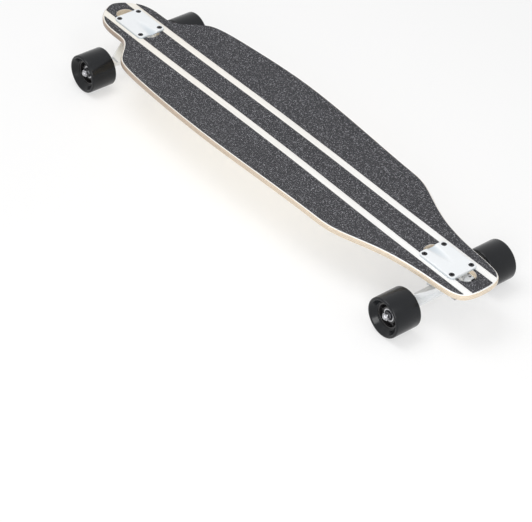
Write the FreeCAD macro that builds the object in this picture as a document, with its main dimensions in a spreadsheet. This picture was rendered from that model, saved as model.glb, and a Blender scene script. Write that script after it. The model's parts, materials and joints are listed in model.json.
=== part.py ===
import FreeCAD, Part
import math
import os
import re

import Sketcher

Vector = FreeCAD.Vector
Rotation = FreeCAD.Rotation
Placement = FreeCAD.Placement

doc = FreeCAD.newDocument("longboard")

# Driving dimensions in millimetres and degrees
SIZES = {
    # deck, a pressed laminate with camber along it and concave across it
    "deck_length": 990.0,
    "deck_width": 236.4,
    "deck_thickness": 11.0,
    "edge_round": 3.0,
    "camber_rise": 3.5,
    "camber_flat": 140.0,
    "concave_flat": 64.0,
    "concave_radius": 412.0,
    "tip_to_truck": 85.5,
    # grip tape panels and the two bare stripes between them
    "grip_thickness": 0.9,
    "glue_gap": 0.2,
    "grip_margin": 3.2,
    "stripe_inner": 21.0,
    "stripe_width": 14.0,
    "plate_clearance": 0.6,
    # cut-out that each truck drops through
    "slot_inner_reach": 48.5,
    "slot_outer_reach": 59.0,
    "slot_width": 34.0,
    # truck layout
    "axle_to_deck_top": 56.0,
    "axle_inset": 2.6,
    "steer_angle": 35.0,
    "ring_to_axle": 25.1,
    "rake": 8.5,
    # baseplate
    "bolt_spacing_long": 63.5,
    "bolt_spacing_wide": 41.3,
    "plate_length": 80.0,
    "plate_width": 55.0,
    "plate_thickness": 4.5,
    "plate_corner": 7.0,
    "plate_edge_round": 1.2,
    "trough_radius": 20.0,
    "trough_depth": 3.0,
    "trough_reach": 52.0,
    "boss_radius": 15.6,
    "boss_depth": 9.0,
    "casting_round": 1.5,
    "post_width": 21.0,
    "post_flare": 8.0,
    "gusset_width": 28.0,
    "gusset_flare": 12.0,
    "gusset_foot": 16.0,
    "gusset_step": 4.5,
    "housing_radius": 10.5,
    "post_slot_width": 9.0,
    "post_slot_depth": 6.0,
    "post_slot_drop": 22.0,
    "post_slot_length": 29.0,
    # pivot
    "pivot_mouth": 37.0,
    "pivot_radius": 6.0,
    "pivot_length": 9.5,
    "cup_wall": 2.0,
    "cup_floor": 1.6,
    # hanger
    "hanger_width": 178.0,
    "hanger_end_radius": 8.5,
    "shoulder_radius": 6.8,
    "shoulder_length": 2.0,
    "hanger_middle_radius": 9.5,
    "ring_radius": 20.0,
    "ring_thickness": 10.0,
    "ring_hole_radius": 7.75,
    "bushing_recess": 1.5,
    "recess_radius": 13.9,
    "wing_thickness": 8.0,
    "wing_span": 124.0,
    "wing_ahead": 6.8,
    "wing_back_span": 114.0,
    "wing_behind": 6.0,
    "wing_ring_span": 35.6,
    "wing_ring_reach": 9.0,
    "web_pocket_depth": 2.4,
    "web_pocket_near": 25.0,
    "web_pocket_far": 45.0,
    "web_pocket_tip": 23.5,
    "web_pocket_reach": 11.0,
    "nose_bare": 3.0,
    # kingpin and its bushings
    "kingpin_radius": 4.75,
    "kingpin_nut_height": 8.0,
    "kingpin_nut_across": 14.3,
    "kingpin_seat_depth": 16.0,
    "kingpin_spare": 2.5,
    "stud_bevel": 0.8,
    "bushing_radius": 13.5,
    "bushing_tip_radius": 10.5,
    "bushing_edge_round": 1.2,
    "board_bushing_height": 13.0,
    "road_bushing_height": 12.0,
    "bushing_washer_thickness": 1.5,
    "washer_rim": 1.2,
    "washer_rim_height": 1.6,
    "washer_gap": 0.4,
    # truck bolts through plate and deck
    "bolt_radius": 2.4,
    "bolt_hole_radius": 2.75,
    "bolt_head_radius": 4.7,
    "bolt_head_depth": 2.9,
    "socket_across": 3.2,
    "socket_depth": 1.9,
    "bolt_length": 24.0,
    "bolt_nut_across": 9.5,
    "bolt_nut_height": 5.0,
    # shape of every lock nut
    "nut_collar_height": 1.6,
    "nut_collar_inset": 0.9,
    "nut_collar_round": 0.5,
    "nut_face_inset": 0.3,
    "nut_bevel_angle": 30.0,
    # wheels, bearings and axle
    "wheel_diameter": 70.0,
    "wheel_width": 51.0,
    "lip_round": 2.8,
    "lip_flat": 1.2,
    "lip_bevel": 1.4,
    "lip_drop": 1.2,
    "face_step": 2.0,
    "face_rise": 1.2,
    "core_recess": 0.5,
    "core_radius": 22.0,
    "core_width": 30.0,
    "core_rim": 2.6,
    "spoke_width": 5.0,
    "spoke_depth": 21.0,
    "hub_wall": 3.2,
    "axle_radius": 4.0,
    "axle_nut_across": 12.7,
    "axle_nut_height": 8.0,
    "axle_spare": 1.5,
    "speed_washer_thickness": 1.0,
    "speed_washer_radius": 5.6,
    "bearing_radius": 11.0,
    "bearing_width": 7.0,
    "bearing_gap": 10.0,
    "inner_race_radius": 6.0,
    "outer_race_bore": 9.2,
    "shield_thickness": 0.5,
    # clearances
    "running_clearance": 0.06,
    "shield_clearance": 0.1,
    "press_clearance": 0.03,
    "bushing_clearance": 0.15,
    "overcut": 1.0,
}
SPOKES = 6

# Places on the deck's outline: how far each lies inwards from a tip or a truck's centre, or from the
# board's middle towards the tail, and there either its half width or its inset from the widest line
OUTLINE = [
    ("nose_round", "nose", 7.7, "half_width", 19.4),
    ("nose_corner", "nose", 37.0, "half_width", 44.8),
    ("front_neck", "front", 0.0, "half_width", 51.5),
    ("front_neck_end", "front", 29.5, "half_width", 56.2),
    ("front_shoulder_turn", "front", 65.5, "inset", 30.7),
    ("front_shoulder", "front", 94.5, "inset", 15.2),
    ("front_quarter", "front", 189.5, "inset", 4.8),
    ("widest", "middle", -84.0, "inset", 0.0),
    ("waist", "middle", 60.0, "inset", 5.8),
    ("rear_quarter", "rear", 219.5, "inset", 13.2),
    ("rear_shoulder", "rear", 169.5, "inset", 17.2),
    ("rear_shoulder_turn", "rear", 124.5, "inset", 33.4),
    ("rear_neck_start", "rear", 69.5, "half_width", 65.4),
    ("rear_neck", "rear", 0.0, "half_width", 53.8),
    ("tail_corner", "tail", 37.0, "half_width", 49.4),
    ("tail_round", "tail", 9.0, "half_width", 37.6),
]
for station, _, reach, kind, size in OUTLINE:
    SIZES[station + "_reach"] = reach
    SIZES["%s_%s" % (station, kind)] = size

sheet = doc.addObject("Spreadsheet::Sheet", "sizes")
for row, (alias, size) in enumerate(SIZES.items(), start=1):
    sheet.set("A%d" % row, alias)
    sheet.set("B%d" % row, str(size))
    sheet.setAlias("B%d" % row, alias)
doc.recompute()


def mm(alias):
    """The value of one cell of the sheet."""
    return float(sheet.get(alias))


def bind(thing, prop, formula):
    """Ties a property to the sheet: every cell's name in the formula becomes a link."""
    names = "|".join(sorted(SIZES, key=len, reverse=True))
    thing.setExpression(prop, re.sub(r"\b(%s)\b" % names, r"sizes.\1", formula))


# Places worked out from the driving dimensions
AXLE_HEIGHT = mm("wheel_diameter") / 2
DECK_TOP = AXLE_HEIGHT + mm("axle_to_deck_top")
PLATE_TOP = DECK_TOP + mm("plate_thickness")
DECK_BOTTOM = DECK_TOP - mm("deck_thickness")
TIP = mm("deck_length") / 2
TRUCK = TIP - mm("tip_to_truck")
STEER = math.radians(mm("steer_angle"))
ALONG = Vector(math.cos(STEER), 0, math.sin(STEER))
DOWN = Vector(math.sin(STEER), 0, -math.cos(STEER))
AXLE = Vector(-mm("axle_inset"), 0, AXLE_HEIGHT)
RING = AXLE + ALONG * mm("ring_to_axle") - DOWN * mm("rake")
WHEEL_CENTRE = (
    mm("hanger_width") / 2
    + mm("speed_washer_thickness")
    + mm("bearing_width")
    + mm("bearing_gap") / 2
)

# Distances from the ring's middle along the kingpin, towards the road
RING_HALF = mm("ring_thickness") / 2
BOARD_SEAT = RING_HALF + mm("board_bushing_height") + mm("bushing_washer_thickness")
ROAD_WASHER = RING_HALF + mm("road_bushing_height")
KINGPIN_NUT = ROAD_WASHER + mm("bushing_washer_thickness")
KINGPIN_TOP = BOARD_SEAT + mm("kingpin_seat_depth")
KINGPIN_END = KINGPIN_NUT + mm("kingpin_nut_height") + mm("kingpin_spare")

# The frame of a truck has X outwards from the board's middle; a kingpin's frame has X along the
# steering axis and Z along the kingpin towards the deck, with the ring's middle as its origin
TRUCKS = {
    "front": Placement(Vector(-TRUCK, 0, 0), Rotation(Vector(0, 0, 1), 180)),
    "rear": Placement(Vector(TRUCK, 0, 0), Rotation()),
}
KINGPIN_FRAME = Placement(RING, Rotation(Vector(0, 1, 0), -mm("steer_angle")))
UPRIGHT = Placement(Vector(), Rotation(Vector(1, 0, 0), 90))
ACROSS = Rotation(Vector(1, 0, 0), -90)
FORWARD = Rotation(Vector(0, 1, 0), 90)
BACKWARD = Rotation(Vector(0, 1, 0), -90)
UPSIDE_DOWN = Rotation(Vector(1, 0, 0), 180)


def on_kingpin(towards_road, along=0.0):
    """A point of the kingpin's frame, in the truck's frame."""
    return RING + DOWN * towards_road + ALONG * along


def add(kind, name, place=None, **sizes):
    """One Part object whose sizes are formulas of the sheet."""
    thing = doc.addObject(kind, name)
    for prop, formula in sizes.items():
        bind(thing, prop, formula)
    if place is not None:
        thing.Placement = place
    return thing


def cylinder(name, radius, height, place=None):
    return add("Part::Cylinder", name, place, Radius=radius, Height=height)


def hexagon(name, across, height, place=None):
    prism = add("Part::Prism", name, place, Circumradius="(%s) / sqrt(3)" % across, Height=height)
    prism.Polygon = 6
    return prism


def fuse(name, shapes):
    joined = doc.addObject("Part::MultiFuse", name)
    joined.Shapes = shapes
    return joined


def cut(name, base, tool):
    left = doc.addObject("Part::Cut", name)
    left.Base = base
    left.Tool = tool
    return left


def group(name, members):
    together = doc.addObject("Part::Compound", name)
    together.Links = members
    return together


def tube(name, radius, bore, height, place=None):
    """A plain ring: washers, races, spacers and shields."""
    wall = cylinder(name + "_wall", radius, height)
    hole = cylinder(name + "_hole", bore, height)
    ring = cut(name, wall, hole)
    if place is not None:
        ring.Placement = place
    return ring


def outline(name, corners, place=None):
    """A closed sketch of straight lines whose corners are pairs of formulas."""
    sketch = doc.addObject("Sketcher::SketchObject", name)
    count = len(corners)
    step = 2 * math.pi / count
    ring = [Vector(math.cos(step * i), math.sin(step * i), 0) for i in range(count)]
    for i in range(count):
        sketch.addGeometry(Part.LineSegment(ring[i], ring[(i + 1) % count]))
    for i in range(count):
        sketch.addConstraint(Sketcher.Constraint("Coincident", i, 2, (i + 1) % count, 1))
    for i, (x, y) in enumerate(corners):
        for kind, formula, start in (("DistanceX", x, ring[i].x), ("DistanceY", y, ring[i].y)):
            number = sketch.addConstraint(Sketcher.Constraint(kind, -1, 1, i, 1, start))
            bind(sketch, "Constraints[%d]" % number, formula)
    if place is not None:
        sketch.Placement = place
    return sketch


def extrude(name, sketch, length):
    """A slab of a sketch, centred on the sketch's plane."""
    slab = doc.addObject("Part::Extrusion", name)
    slab.Base = sketch
    slab.DirMode = "Normal"
    slab.Symmetric = True
    slab.Solid = True
    bind(slab, "LengthFwd", length)
    return slab


def solid(name, shape):
    """A shape that Part's functions make from the sheet's values."""
    thing = doc.addObject("Part::Feature", name)
    thing.Shape = shape
    return thing


def pressed_sheet(bottom, top):
    """A layer of the pressed laminate between two heights over the deck's top face."""
    flat = mm("concave_flat") / 2
    radius = mm("concave_radius")
    reach = mm("deck_width") / 2 + mm("deck_thickness")
    lean = math.asin((reach - flat) / radius)

    def section_edges(height, side):
        """The flat middle's end, a point half-way up the arc and the arc's end."""
        arc = radius - height
        return [
            Vector(0, side * (flat + arc * math.sin(angle)), height + arc * (1 - math.cos(angle)))
            for angle in (0, lean / 2, lean)
        ]

    upper_left, upper_right = section_edges(top, -1), section_edges(top, 1)
    lower_left, lower_right = section_edges(bottom, -1), section_edges(bottom, 1)
    edges = [
        Part.LineSegment(upper_left[0], upper_right[0]).toShape(),
        Part.Arc(*upper_right).toShape(),
        Part.LineSegment(upper_right[2], lower_right[2]).toShape(),
        Part.Arc(*reversed(lower_right)).toShape(),
        Part.LineSegment(lower_right[0], lower_left[0]).toShape(),
        Part.Arc(*lower_left).toShape(),
        Part.LineSegment(lower_left[2], upper_left[2]).toShape(),
        Part.Arc(*reversed(upper_left)).toShape(),
    ]
    start = Vector(-TIP - mm("deck_thickness"), 0, DECK_TOP)
    section = Part.Wire(edges)
    section.translate(start)

    # camber: flat under the trucks, then an arc up, the crown and an arc down, all tangent
    bend = TIP - mm("camber_flat")
    rise = mm("camber_rise")
    half = bend / 2
    crown = (half * half + (rise / 2) ** 2) / rise
    sag = crown - math.sqrt(crown * crown - half * half / 4)

    def spine_point(x, z):
        return Vector(x, 0, DECK_TOP + z)

    def spine_arc(*through):
        return Part.Arc(*[spine_point(x, z) for x, z in through]).toShape()

    spine = Part.Wire([
        Part.LineSegment(start, spine_point(-bend, 0)).toShape(),
        spine_arc((-bend, 0), (-bend + half / 2, sag), (-half, rise / 2)),
        spine_arc((-half, rise / 2), (0, rise), (half, rise / 2)),
        spine_arc((half, rise / 2), (bend - half / 2, sag), (bend, 0)),
        Part.LineSegment(spine_point(bend, 0), spine_point(-start.x, 0)).toShape(),
    ])
    return spine.makePipeShell([section], True, False)


def smooth_loop(points):
    """A closed smooth curve through points, with each point's parameter."""
    places = [0.0]
    for here, after in zip(points, points[1:] + points[:1]):
        places.append(places[-1] + math.sqrt(here.distanceToPoint(after)))
    loop = Part.BSplineCurve()
    loop.interpolate(points, PeriodicFlag=True, Parameters=places)
    return loop, places[:-1]


def deck_outline(inset):
    """The deck's plan as a tall prism, drawn in by an inset square to its edge."""
    anchors = {
        "nose": (-TIP, 1),
        "front": (-TRUCK, 1),
        "middle": (0, 1),
        "rear": (TRUCK, -1),
        "tail": (TIP, -1),
    }
    half = [Vector(-TIP, 0, 0)]
    for station, anchor, _, kind, _ in OUTLINE:
        start, inwards = anchors[anchor]
        x = start + inwards * mm(station + "_reach")
        y = mm("%s_%s" % (station, kind))
        half.append(Vector(x, mm("deck_width") / 2 - y if kind == "inset" else y, 0))
    half.append(Vector(TIP, 0, 0))
    points = half + [Vector(point.x, -point.y, 0) for point in reversed(half[1:-1])]
    loop, places = smooth_loop(points)
    if inset:
        inwards = [loop.tangent(place)[0].cross(Vector(0, 0, 1)) for place in places]
        loop, places = smooth_loop([point + way * inset for point, way in zip(points, inwards)])
    face = Part.Face(Part.Wire([loop.toShape()]))
    return face.extrude(Vector(0, 0, 2 * DECK_TOP))


def box(low, high):
    """A plain block between two corners."""
    span = high - low
    return Part.makeBox(span.x, span.y, span.z, low)


def slot_prism(place):
    """The truck's cut-out as a tall slot with full-round ends; it reaches further outwards than inwards."""
    radius = mm("slot_width") / 2
    inner = radius - mm("slot_inner_reach")
    outer = mm("slot_outer_reach") - radius
    middle = box(Vector(inner, -radius, 0), Vector(outer, radius, 2 * DECK_TOP))
    ends = [Part.makeCylinder(radius, 2 * DECK_TOP, Vector(x, 0, 0)) for x in (inner, outer)]
    prism = middle.fuse(ends).removeSplitter()
    prism.Placement = place
    return prism


def is_circle(edge):
    return isinstance(edge.Curve, Part.Circle)


def round_edges(name, base, amount, chosen, kind="Part::Fillet"):
    """Rounds or bevels the chosen edges of an object."""
    doc.recompute()
    softened = doc.addObject(kind, name)
    softened.Base = base
    numbers = [number for number, edge in enumerate(base.Shape.Edges, start=1) if chosen(edge)]
    softened.Edges = [(number, mm(amount), mm(amount)) for number in numbers]
    return softened


def on_flank(edge):
    """Whether an edge lies in one of a casting's two flanks."""
    return edge.BoundBox.YLength < mm("overcut")


def rounded_slab(name, middle, sizes, corner):
    """A slab standing on a point at its middle, with upright corners rounded."""
    length, width, height = sizes
    block = add("Part::Box", name + "_block", Length=length, Width=width, Height=height)
    doc.recompute()
    block.Placement = Placement(middle - Vector(block.Length.Value / 2, block.Width.Value / 2, 0), Rotation())
    return round_edges(name, block, corner, lambda edge: not level(edge))


def level(edge):
    """Whether an edge runs more along the board than up it."""
    tangent = edge.tangentAt((edge.FirstParameter + edge.LastParameter) / 2)
    return abs(tangent.z) < math.hypot(tangent.x, tangent.y)


def make_deck():
    """Laminated deck: pressed blank, trimmed to its plan, rim rounded, with cut-outs and bolt holes."""
    deck = pressed_sheet(-mm("deck_thickness"), 0).common(deck_outline(0)).removeSplitter()
    rim = next(face for face in deck.Faces if isinstance(face.Surface, Part.SurfaceOfExtrusion))
    deck = deck.makeFillet(mm("edge_round"), [edge for edge in rim.Edges if level(edge)])
    for place in TRUCKS.values():
        deck = deck.cut(slot_prism(place))
        for x in (-1, 1):
            for y in (-1, 1):
                hole = Part.makeCylinder(mm("bolt_hole_radius"), 2 * DECK_TOP)
                at = Vector(x * mm("bolt_spacing_long") / 2, y * mm("bolt_spacing_wide") / 2, 0)
                hole.Placement = place.multiply(Placement(at, Rotation()))
                deck = deck.cut(hole)
    return solid("deck", deck)


def make_grip_tape():
    """Three panels of grip tape, with the stripes between them left bare."""
    low = mm("glue_gap")
    sheet_shape = pressed_sheet(low, low + mm("grip_thickness")).common(deck_outline(mm("grip_margin")))
    half_length = mm("plate_length") / 2 + mm("plate_clearance")
    half_width = mm("plate_width") / 2 + mm("plate_clearance")
    for place in TRUCKS.values():
        window = box(Vector(-half_length, -half_width, 0), Vector(half_length, half_width, 2 * DECK_TOP))
        window.Placement = place
        sheet_shape = sheet_shape.cut(window)
        sheet_shape = sheet_shape.cut(slot_prism(place))
    inner = mm("stripe_inner")
    outer = inner + mm("stripe_width")
    far = mm("deck_width")
    bands = {
        "grip_tape_right": (-far, -outer),
        "grip_tape_center": (-inner, inner),
        "grip_tape_left": (outer, far),
    }
    for name, (low_y, high_y) in bands.items():
        band = box(Vector(-2 * TIP, low_y, 0), Vector(2 * TIP, high_y, 2 * DECK_TOP))
        solid(name, sheet_shape.common(band))


def make_baseplate(end, place):
    """Cast baseplate: a flange on the deck, the kingpin's seat and the pivot post below it."""
    name = end + "_baseplate"
    slab = rounded_slab(
        name + "_slab",
        Vector(0, 0, DECK_TOP),
        ("plate_length", "plate_width", "plate_thickness"),
        "plate_corner",
    )
    flange = round_edges(
        name + "_flange",
        slab,
        "plate_edge_round",
        lambda edge: edge.BoundBox.ZMin > PLATE_TOP - mm("plate_thickness") / 2,
    )

    seat_out = on_kingpin(-BOARD_SEAT, mm("boss_radius"))
    seat_in = on_kingpin(-BOARD_SEAT, -mm("boss_radius"))
    mouth_top = on_kingpin(-mm("housing_radius"), -mm("pivot_mouth"))
    housing_end = mm("pivot_mouth") + mm("pivot_length") + mm("cup_floor") + mm("cup_wall") * 2
    mouth = on_kingpin(0, -mm("pivot_mouth"))
    housing_back = on_kingpin(0, -housing_end)
    post_back = housing_back.x - mm("post_slot_depth") / 2
    post_block = extrude(
        name + "_post_block",
        outline(
            name + "_post_profile",
            pairs([
                (seat_out.x + mm("post_flare"), PLATE_TOP - mm("plate_thickness") / 2),
                (seat_out.x, seat_out.z),
                (seat_in.x, seat_in.z),
                (mouth_top.x, mouth_top.z),
                (mouth.x, mouth.z),
                (housing_back.x, housing_back.z),
                (post_back, PLATE_TOP - mm("plate_thickness") / 2),
            ]),
            UPRIGHT,
        ),
        "post_width",
    )
    post = round_edges(name + "_post", post_block, "casting_round", on_flank)
    gusset_block = extrude(
        name + "_gusset_block",
        outline(
            name + "_gusset_profile",
            pairs([
                (seat_out.x + mm("gusset_flare"), PLATE_TOP - mm("plate_thickness") / 2),
                (seat_out.x, seat_out.z),
                (seat_in.x + mm("gusset_step"), seat_in.z + mm("gusset_step")),
                (seat_in.x - mm("gusset_foot"), PLATE_TOP - mm("plate_thickness") / 2),
            ]),
            UPRIGHT,
        ),
        "gusset_width",
    )
    gusset = round_edges(name + "_gusset", gusset_block, "casting_round", on_flank)
    boss = cylinder(
        name + "_boss",
        "boss_radius",
        "boss_depth",
        Placement(on_kingpin(-BOARD_SEAT), KINGPIN_FRAME.Rotation),
    )
    housing = cylinder(
        name + "_housing",
        "housing_radius",
        "pivot_length + cup_floor + cup_wall * 2",
        Placement(on_kingpin(0, -housing_end), KINGPIN_FRAME.Rotation.multiply(FORWARD)),
    )
    casting = fuse(name + "_casting", [flange, post, gusset, boss, housing])

    kingpin_hole = cylinder(
        name + "_kingpin_hole",
        "kingpin_radius + press_clearance",
        "kingpin_seat_depth + overcut + press_clearance",
        Placement(on_kingpin(mm("overcut") - BOARD_SEAT), KINGPIN_FRAME.Rotation),
    )
    cup_bore = cylinder(
        name + "_cup_bore",
        "pivot_radius + cup_wall + press_clearance",
        "pivot_length + cup_floor + press_clearance",
        Placement(
            on_kingpin(0, -mm("pivot_mouth") - mm("pivot_length") - mm("cup_floor") - mm("press_clearance")),
            KINGPIN_FRAME.Rotation.multiply(FORWARD),
        ),
    )
    # a trough in the plate's top that runs out at its inner end
    climb = math.atan2(mm("trough_depth"), mm("trough_reach"))
    trough_way = Vector(math.cos(climb), 0, math.sin(climb))
    trough_mouth = Vector(-mm("plate_length") / 2, 0, PLATE_TOP - mm("trough_depth") + mm("trough_radius"))
    trough = cylinder(
        name + "_trough",
        "trough_radius",
        "trough_reach + trough_radius * 2",
        Placement(trough_mouth - trough_way * mm("trough_radius"), Rotation(Vector(0, 0, 1), trough_way)),
    )
    post_slot = add(
        "Part::Box",
        name + "_post_slot",
        Placement(
            Vector(
                post_back - mm("post_slot_depth"),
                -mm("post_slot_width") / 2,
                DECK_BOTTOM - mm("post_slot_drop"),
            ),
            Rotation(),
        ),
        Length="post_slot_depth * 2",
        Width="post_slot_width",
        Height="post_slot_length",
    )
    tools = [kingpin_hole, cup_bore, trough, post_slot]
    for number, at in enumerate(bolt_places()):
        shank = cylinder(
            "%s_bolt_hole_%d" % (name, number),
            "bolt_hole_radius",
            "plate_thickness * 2",
            Placement(at + Vector(0, 0, DECK_TOP - mm("plate_thickness") / 2), Rotation()),
        )
        sink = add(
            "Part::Cone",
            "%s_countersink_%d" % (name, number),
            Placement(at + Vector(0, 0, PLATE_TOP - mm("bolt_head_depth")), Rotation()),
            Radius1="bolt_hole_radius",
            Radius2="bolt_head_radius + shield_clearance",
            Height="bolt_head_depth",
        )
        tools.extend([shank, sink])
    baseplate = cut(name, casting, fuse(name + "_tools", tools))
    baseplate.Placement = place


def bolt_places():
    """The four bolts' places round a truck's centre."""
    return [
        Vector(x * mm("bolt_spacing_long") / 2, y * mm("bolt_spacing_wide") / 2, 0)
        for x in (-1, 1)
        for y in (-1, 1)
    ]


def pairs(points):
    """Corner formulas of points that are already worked out."""
    return [("%.6f" % x, "%.6f" % y) for x, y in points]


def make_pivot_cup(end, place):
    """Moulded cup in the pivot post, with a round bottom for the hanger's nose."""
    name = end + "_pivot_cup"
    depth = mm("pivot_length") + mm("cup_floor")
    body = cylinder(
        name + "_body",
        "pivot_radius + cup_wall",
        "pivot_length + cup_floor",
        Placement(Vector(-mm("pivot_mouth") - depth, 0, 0), FORWARD),
    )
    bore = cylinder(
        name + "_bore",
        "pivot_radius + running_clearance",
        "pivot_length",
        Placement(Vector(-mm("pivot_mouth") - mm("pivot_length") + mm("pivot_radius"), 0, 0), FORWARD),
    )
    bottom = add(
        "Part::Sphere",
        name + "_bottom",
        Placement(Vector(-mm("pivot_mouth") - mm("pivot_length") + mm("pivot_radius"), 0, 0), Rotation()),
        Radius="pivot_radius + running_clearance",
    )
    cup = cut(name, body, fuse(name + "_room", [bore, bottom]))
    cup.Placement = place.multiply(KINGPIN_FRAME)


def web_pocket(name, sign):
    """A three-cornered pocket in the wing's road side, between the ring and the axle tube."""
    tube_side = mm("wing_ahead") - mm("ring_to_axle") + mm("web_pocket_depth")
    corners = [
        (tube_side, sign * mm("web_pocket_near")),
        (tube_side, sign * mm("web_pocket_far")),
        (tube_side + mm("web_pocket_reach"), sign * mm("web_pocket_tip")),
    ]
    low = Placement(Vector(0, 0, -mm("wing_thickness") / 2), Rotation())
    return extrude(name, outline(name + "_plan", pairs(corners), low), "web_pocket_depth * 2")


def make_hanger(end, place):
    """Cast hanger: axle tube, wings that gather into the kingpin's ring, and the pivot nose."""
    name = end + "_hanger"
    axle = Vector(-mm("ring_to_axle"), 0, -mm("rake"))
    arms = [
        add(
            "Part::Cone",
            "%s_arm_%s" % (name, side),
            Placement(axle, Rotation(Vector(1, 0, 0), turn)),
            Radius1="hanger_middle_radius",
            Radius2="hanger_end_radius",
            Height="hanger_width / 2 - shoulder_length",
        )
        for side, turn in (("left", -90), ("right", 90))
    ]
    shoulders = cylinder(
        name + "_shoulders",
        "shoulder_radius",
        "hanger_width",
        Placement(axle - Vector(0, mm("hanger_width") / 2, 0), ACROSS),
    )
    wing_block = extrude(
        name + "_wing_block",
        outline(
            name + "_wing_plan",
            [
                ("-ring_to_axle - wing_behind", "-wing_back_span / 2"),
                ("-ring_to_axle + wing_ahead", "-wing_span / 2"),
                ("wing_ring_reach", "-wing_ring_span / 2"),
                ("wing_ring_reach", "wing_ring_span / 2"),
                ("-ring_to_axle + wing_ahead", "wing_span / 2"),
                ("-ring_to_axle - wing_behind", "wing_back_span / 2"),
            ],
        ),
        "wing_thickness",
    )
    wing = round_edges(name + "_wing", wing_block, "casting_round", lambda edge: True)
    ring_block = cylinder(
        name + "_ring_block",
        "ring_radius",
        "ring_thickness",
        Placement(Vector(0, 0, -RING_HALF), Rotation()),
    )
    ring = round_edges(name + "_ring", ring_block, "casting_round", is_circle)
    nose_end = -mm("pivot_mouth") - mm("pivot_length") + mm("pivot_radius")
    nose_root = -mm("ring_to_axle")
    nose = cylinder(
        name + "_nose",
        "pivot_radius",
        "pivot_mouth + pivot_length - pivot_radius - ring_to_axle",
        Placement(Vector(nose_root, 0, 0), BACKWARD),
    )
    nose_tip = add(
        "Part::Sphere",
        name + "_nose_tip",
        Placement(Vector(nose_end, 0, 0), Rotation()),
        Radius="pivot_radius",
    )
    nose_taper = add(
        "Part::Cone",
        name + "_nose_taper",
        Placement(Vector(nose_root, 0, 0), BACKWARD),
        Radius1="hanger_middle_radius",
        Radius2="pivot_radius",
        Height="pivot_mouth - ring_to_axle - nose_bare",
    )
    casting = fuse(name + "_casting", arms + [shoulders, wing, ring, nose, nose_taper, nose_tip])
    hole = cylinder(
        name + "_kingpin_hole",
        "ring_hole_radius",
        "ring_thickness * 2",
        Placement(Vector(0, 0, -2 * RING_HALF), Rotation()),
    )
    recesses = [
        cylinder(
            "%s_%s_recess" % (name, side),
            "recess_radius",
            "ring_thickness",
            Placement(Vector(0, 0, low), Rotation()),
        )
        for side, low in (
            ("board", RING_HALF - mm("bushing_recess")),
            ("road", mm("bushing_recess") - 3 * RING_HALF),
        )
    ]
    bore = cylinder(
        name + "_axle_bore",
        "axle_radius + press_clearance",
        "hanger_width + overcut * 2",
        Placement(axle - Vector(0, mm("hanger_width") / 2 + mm("overcut"), 0), ACROSS),
    )
    pockets = [web_pocket("%s_%s_pocket" % (name, side), sign) for side, sign in (("left", 1), ("right", -1))]
    hanger = cut(name, casting, fuse(name + "_tools", [hole, bore] + recesses + pockets))
    hanger.Placement = place.multiply(KINGPIN_FRAME)


def lock_nut(name, across, height, bore, place):
    """A hexagon nut with bevelled corners under a round collar; it sits on its own Z = 0."""
    body_height = mm(height) - mm("nut_collar_height")
    corners = hexagon(name + "_hexagon", across, "%s - nut_collar_height" % height)
    slope = math.tan(math.radians(mm("nut_bevel_angle")))
    bevel = add(
        "Part::Cone",
        name + "_bevel",
        Radius1="%s / 2 - nut_face_inset + %.6f" % (across, body_height / slope),
        Radius2="%s / 2 - nut_face_inset" % across,
        Height="%s - nut_collar_height" % height,
    )
    body = doc.addObject("Part::Common", name + "_body")
    body.Base = corners
    body.Tool = bevel
    collar_block = cylinder(
        name + "_collar_block",
        "%s / 2 - nut_collar_inset" % across,
        "nut_collar_height",
        Placement(Vector(0, 0, body_height), Rotation()),
    )
    collar = round_edges(
        name + "_collar",
        collar_block,
        "nut_collar_round",
        lambda edge: edge.BoundBox.ZMin > body_height,
    )
    thread = cylinder(name + "_thread", bore, height)
    nut = cut(name, fuse(name + "_blank", [body, collar]), thread)
    nut.Placement = place
    return nut


def cupped_washer(name, radius, bore, place):
    """A washer whose rim holds the end of a bushing; it lies on its own Z = 0."""
    inner = "%s + washer_gap" % radius
    outer = "%s + washer_gap + washer_rim" % radius
    disc = cylinder(name + "_disc", outer, "bushing_washer_thickness + washer_rim_height")
    room = cylinder(name + "_room", inner, "washer_rim_height * 2")
    room.Placement = Placement(Vector(0, 0, mm("bushing_washer_thickness")), Rotation())
    hole = cylinder(name + "_bore", bore, "bushing_washer_thickness * 2")
    cut(name, disc, fuse(name + "_tools", [room, hole])).Placement = place


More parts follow.
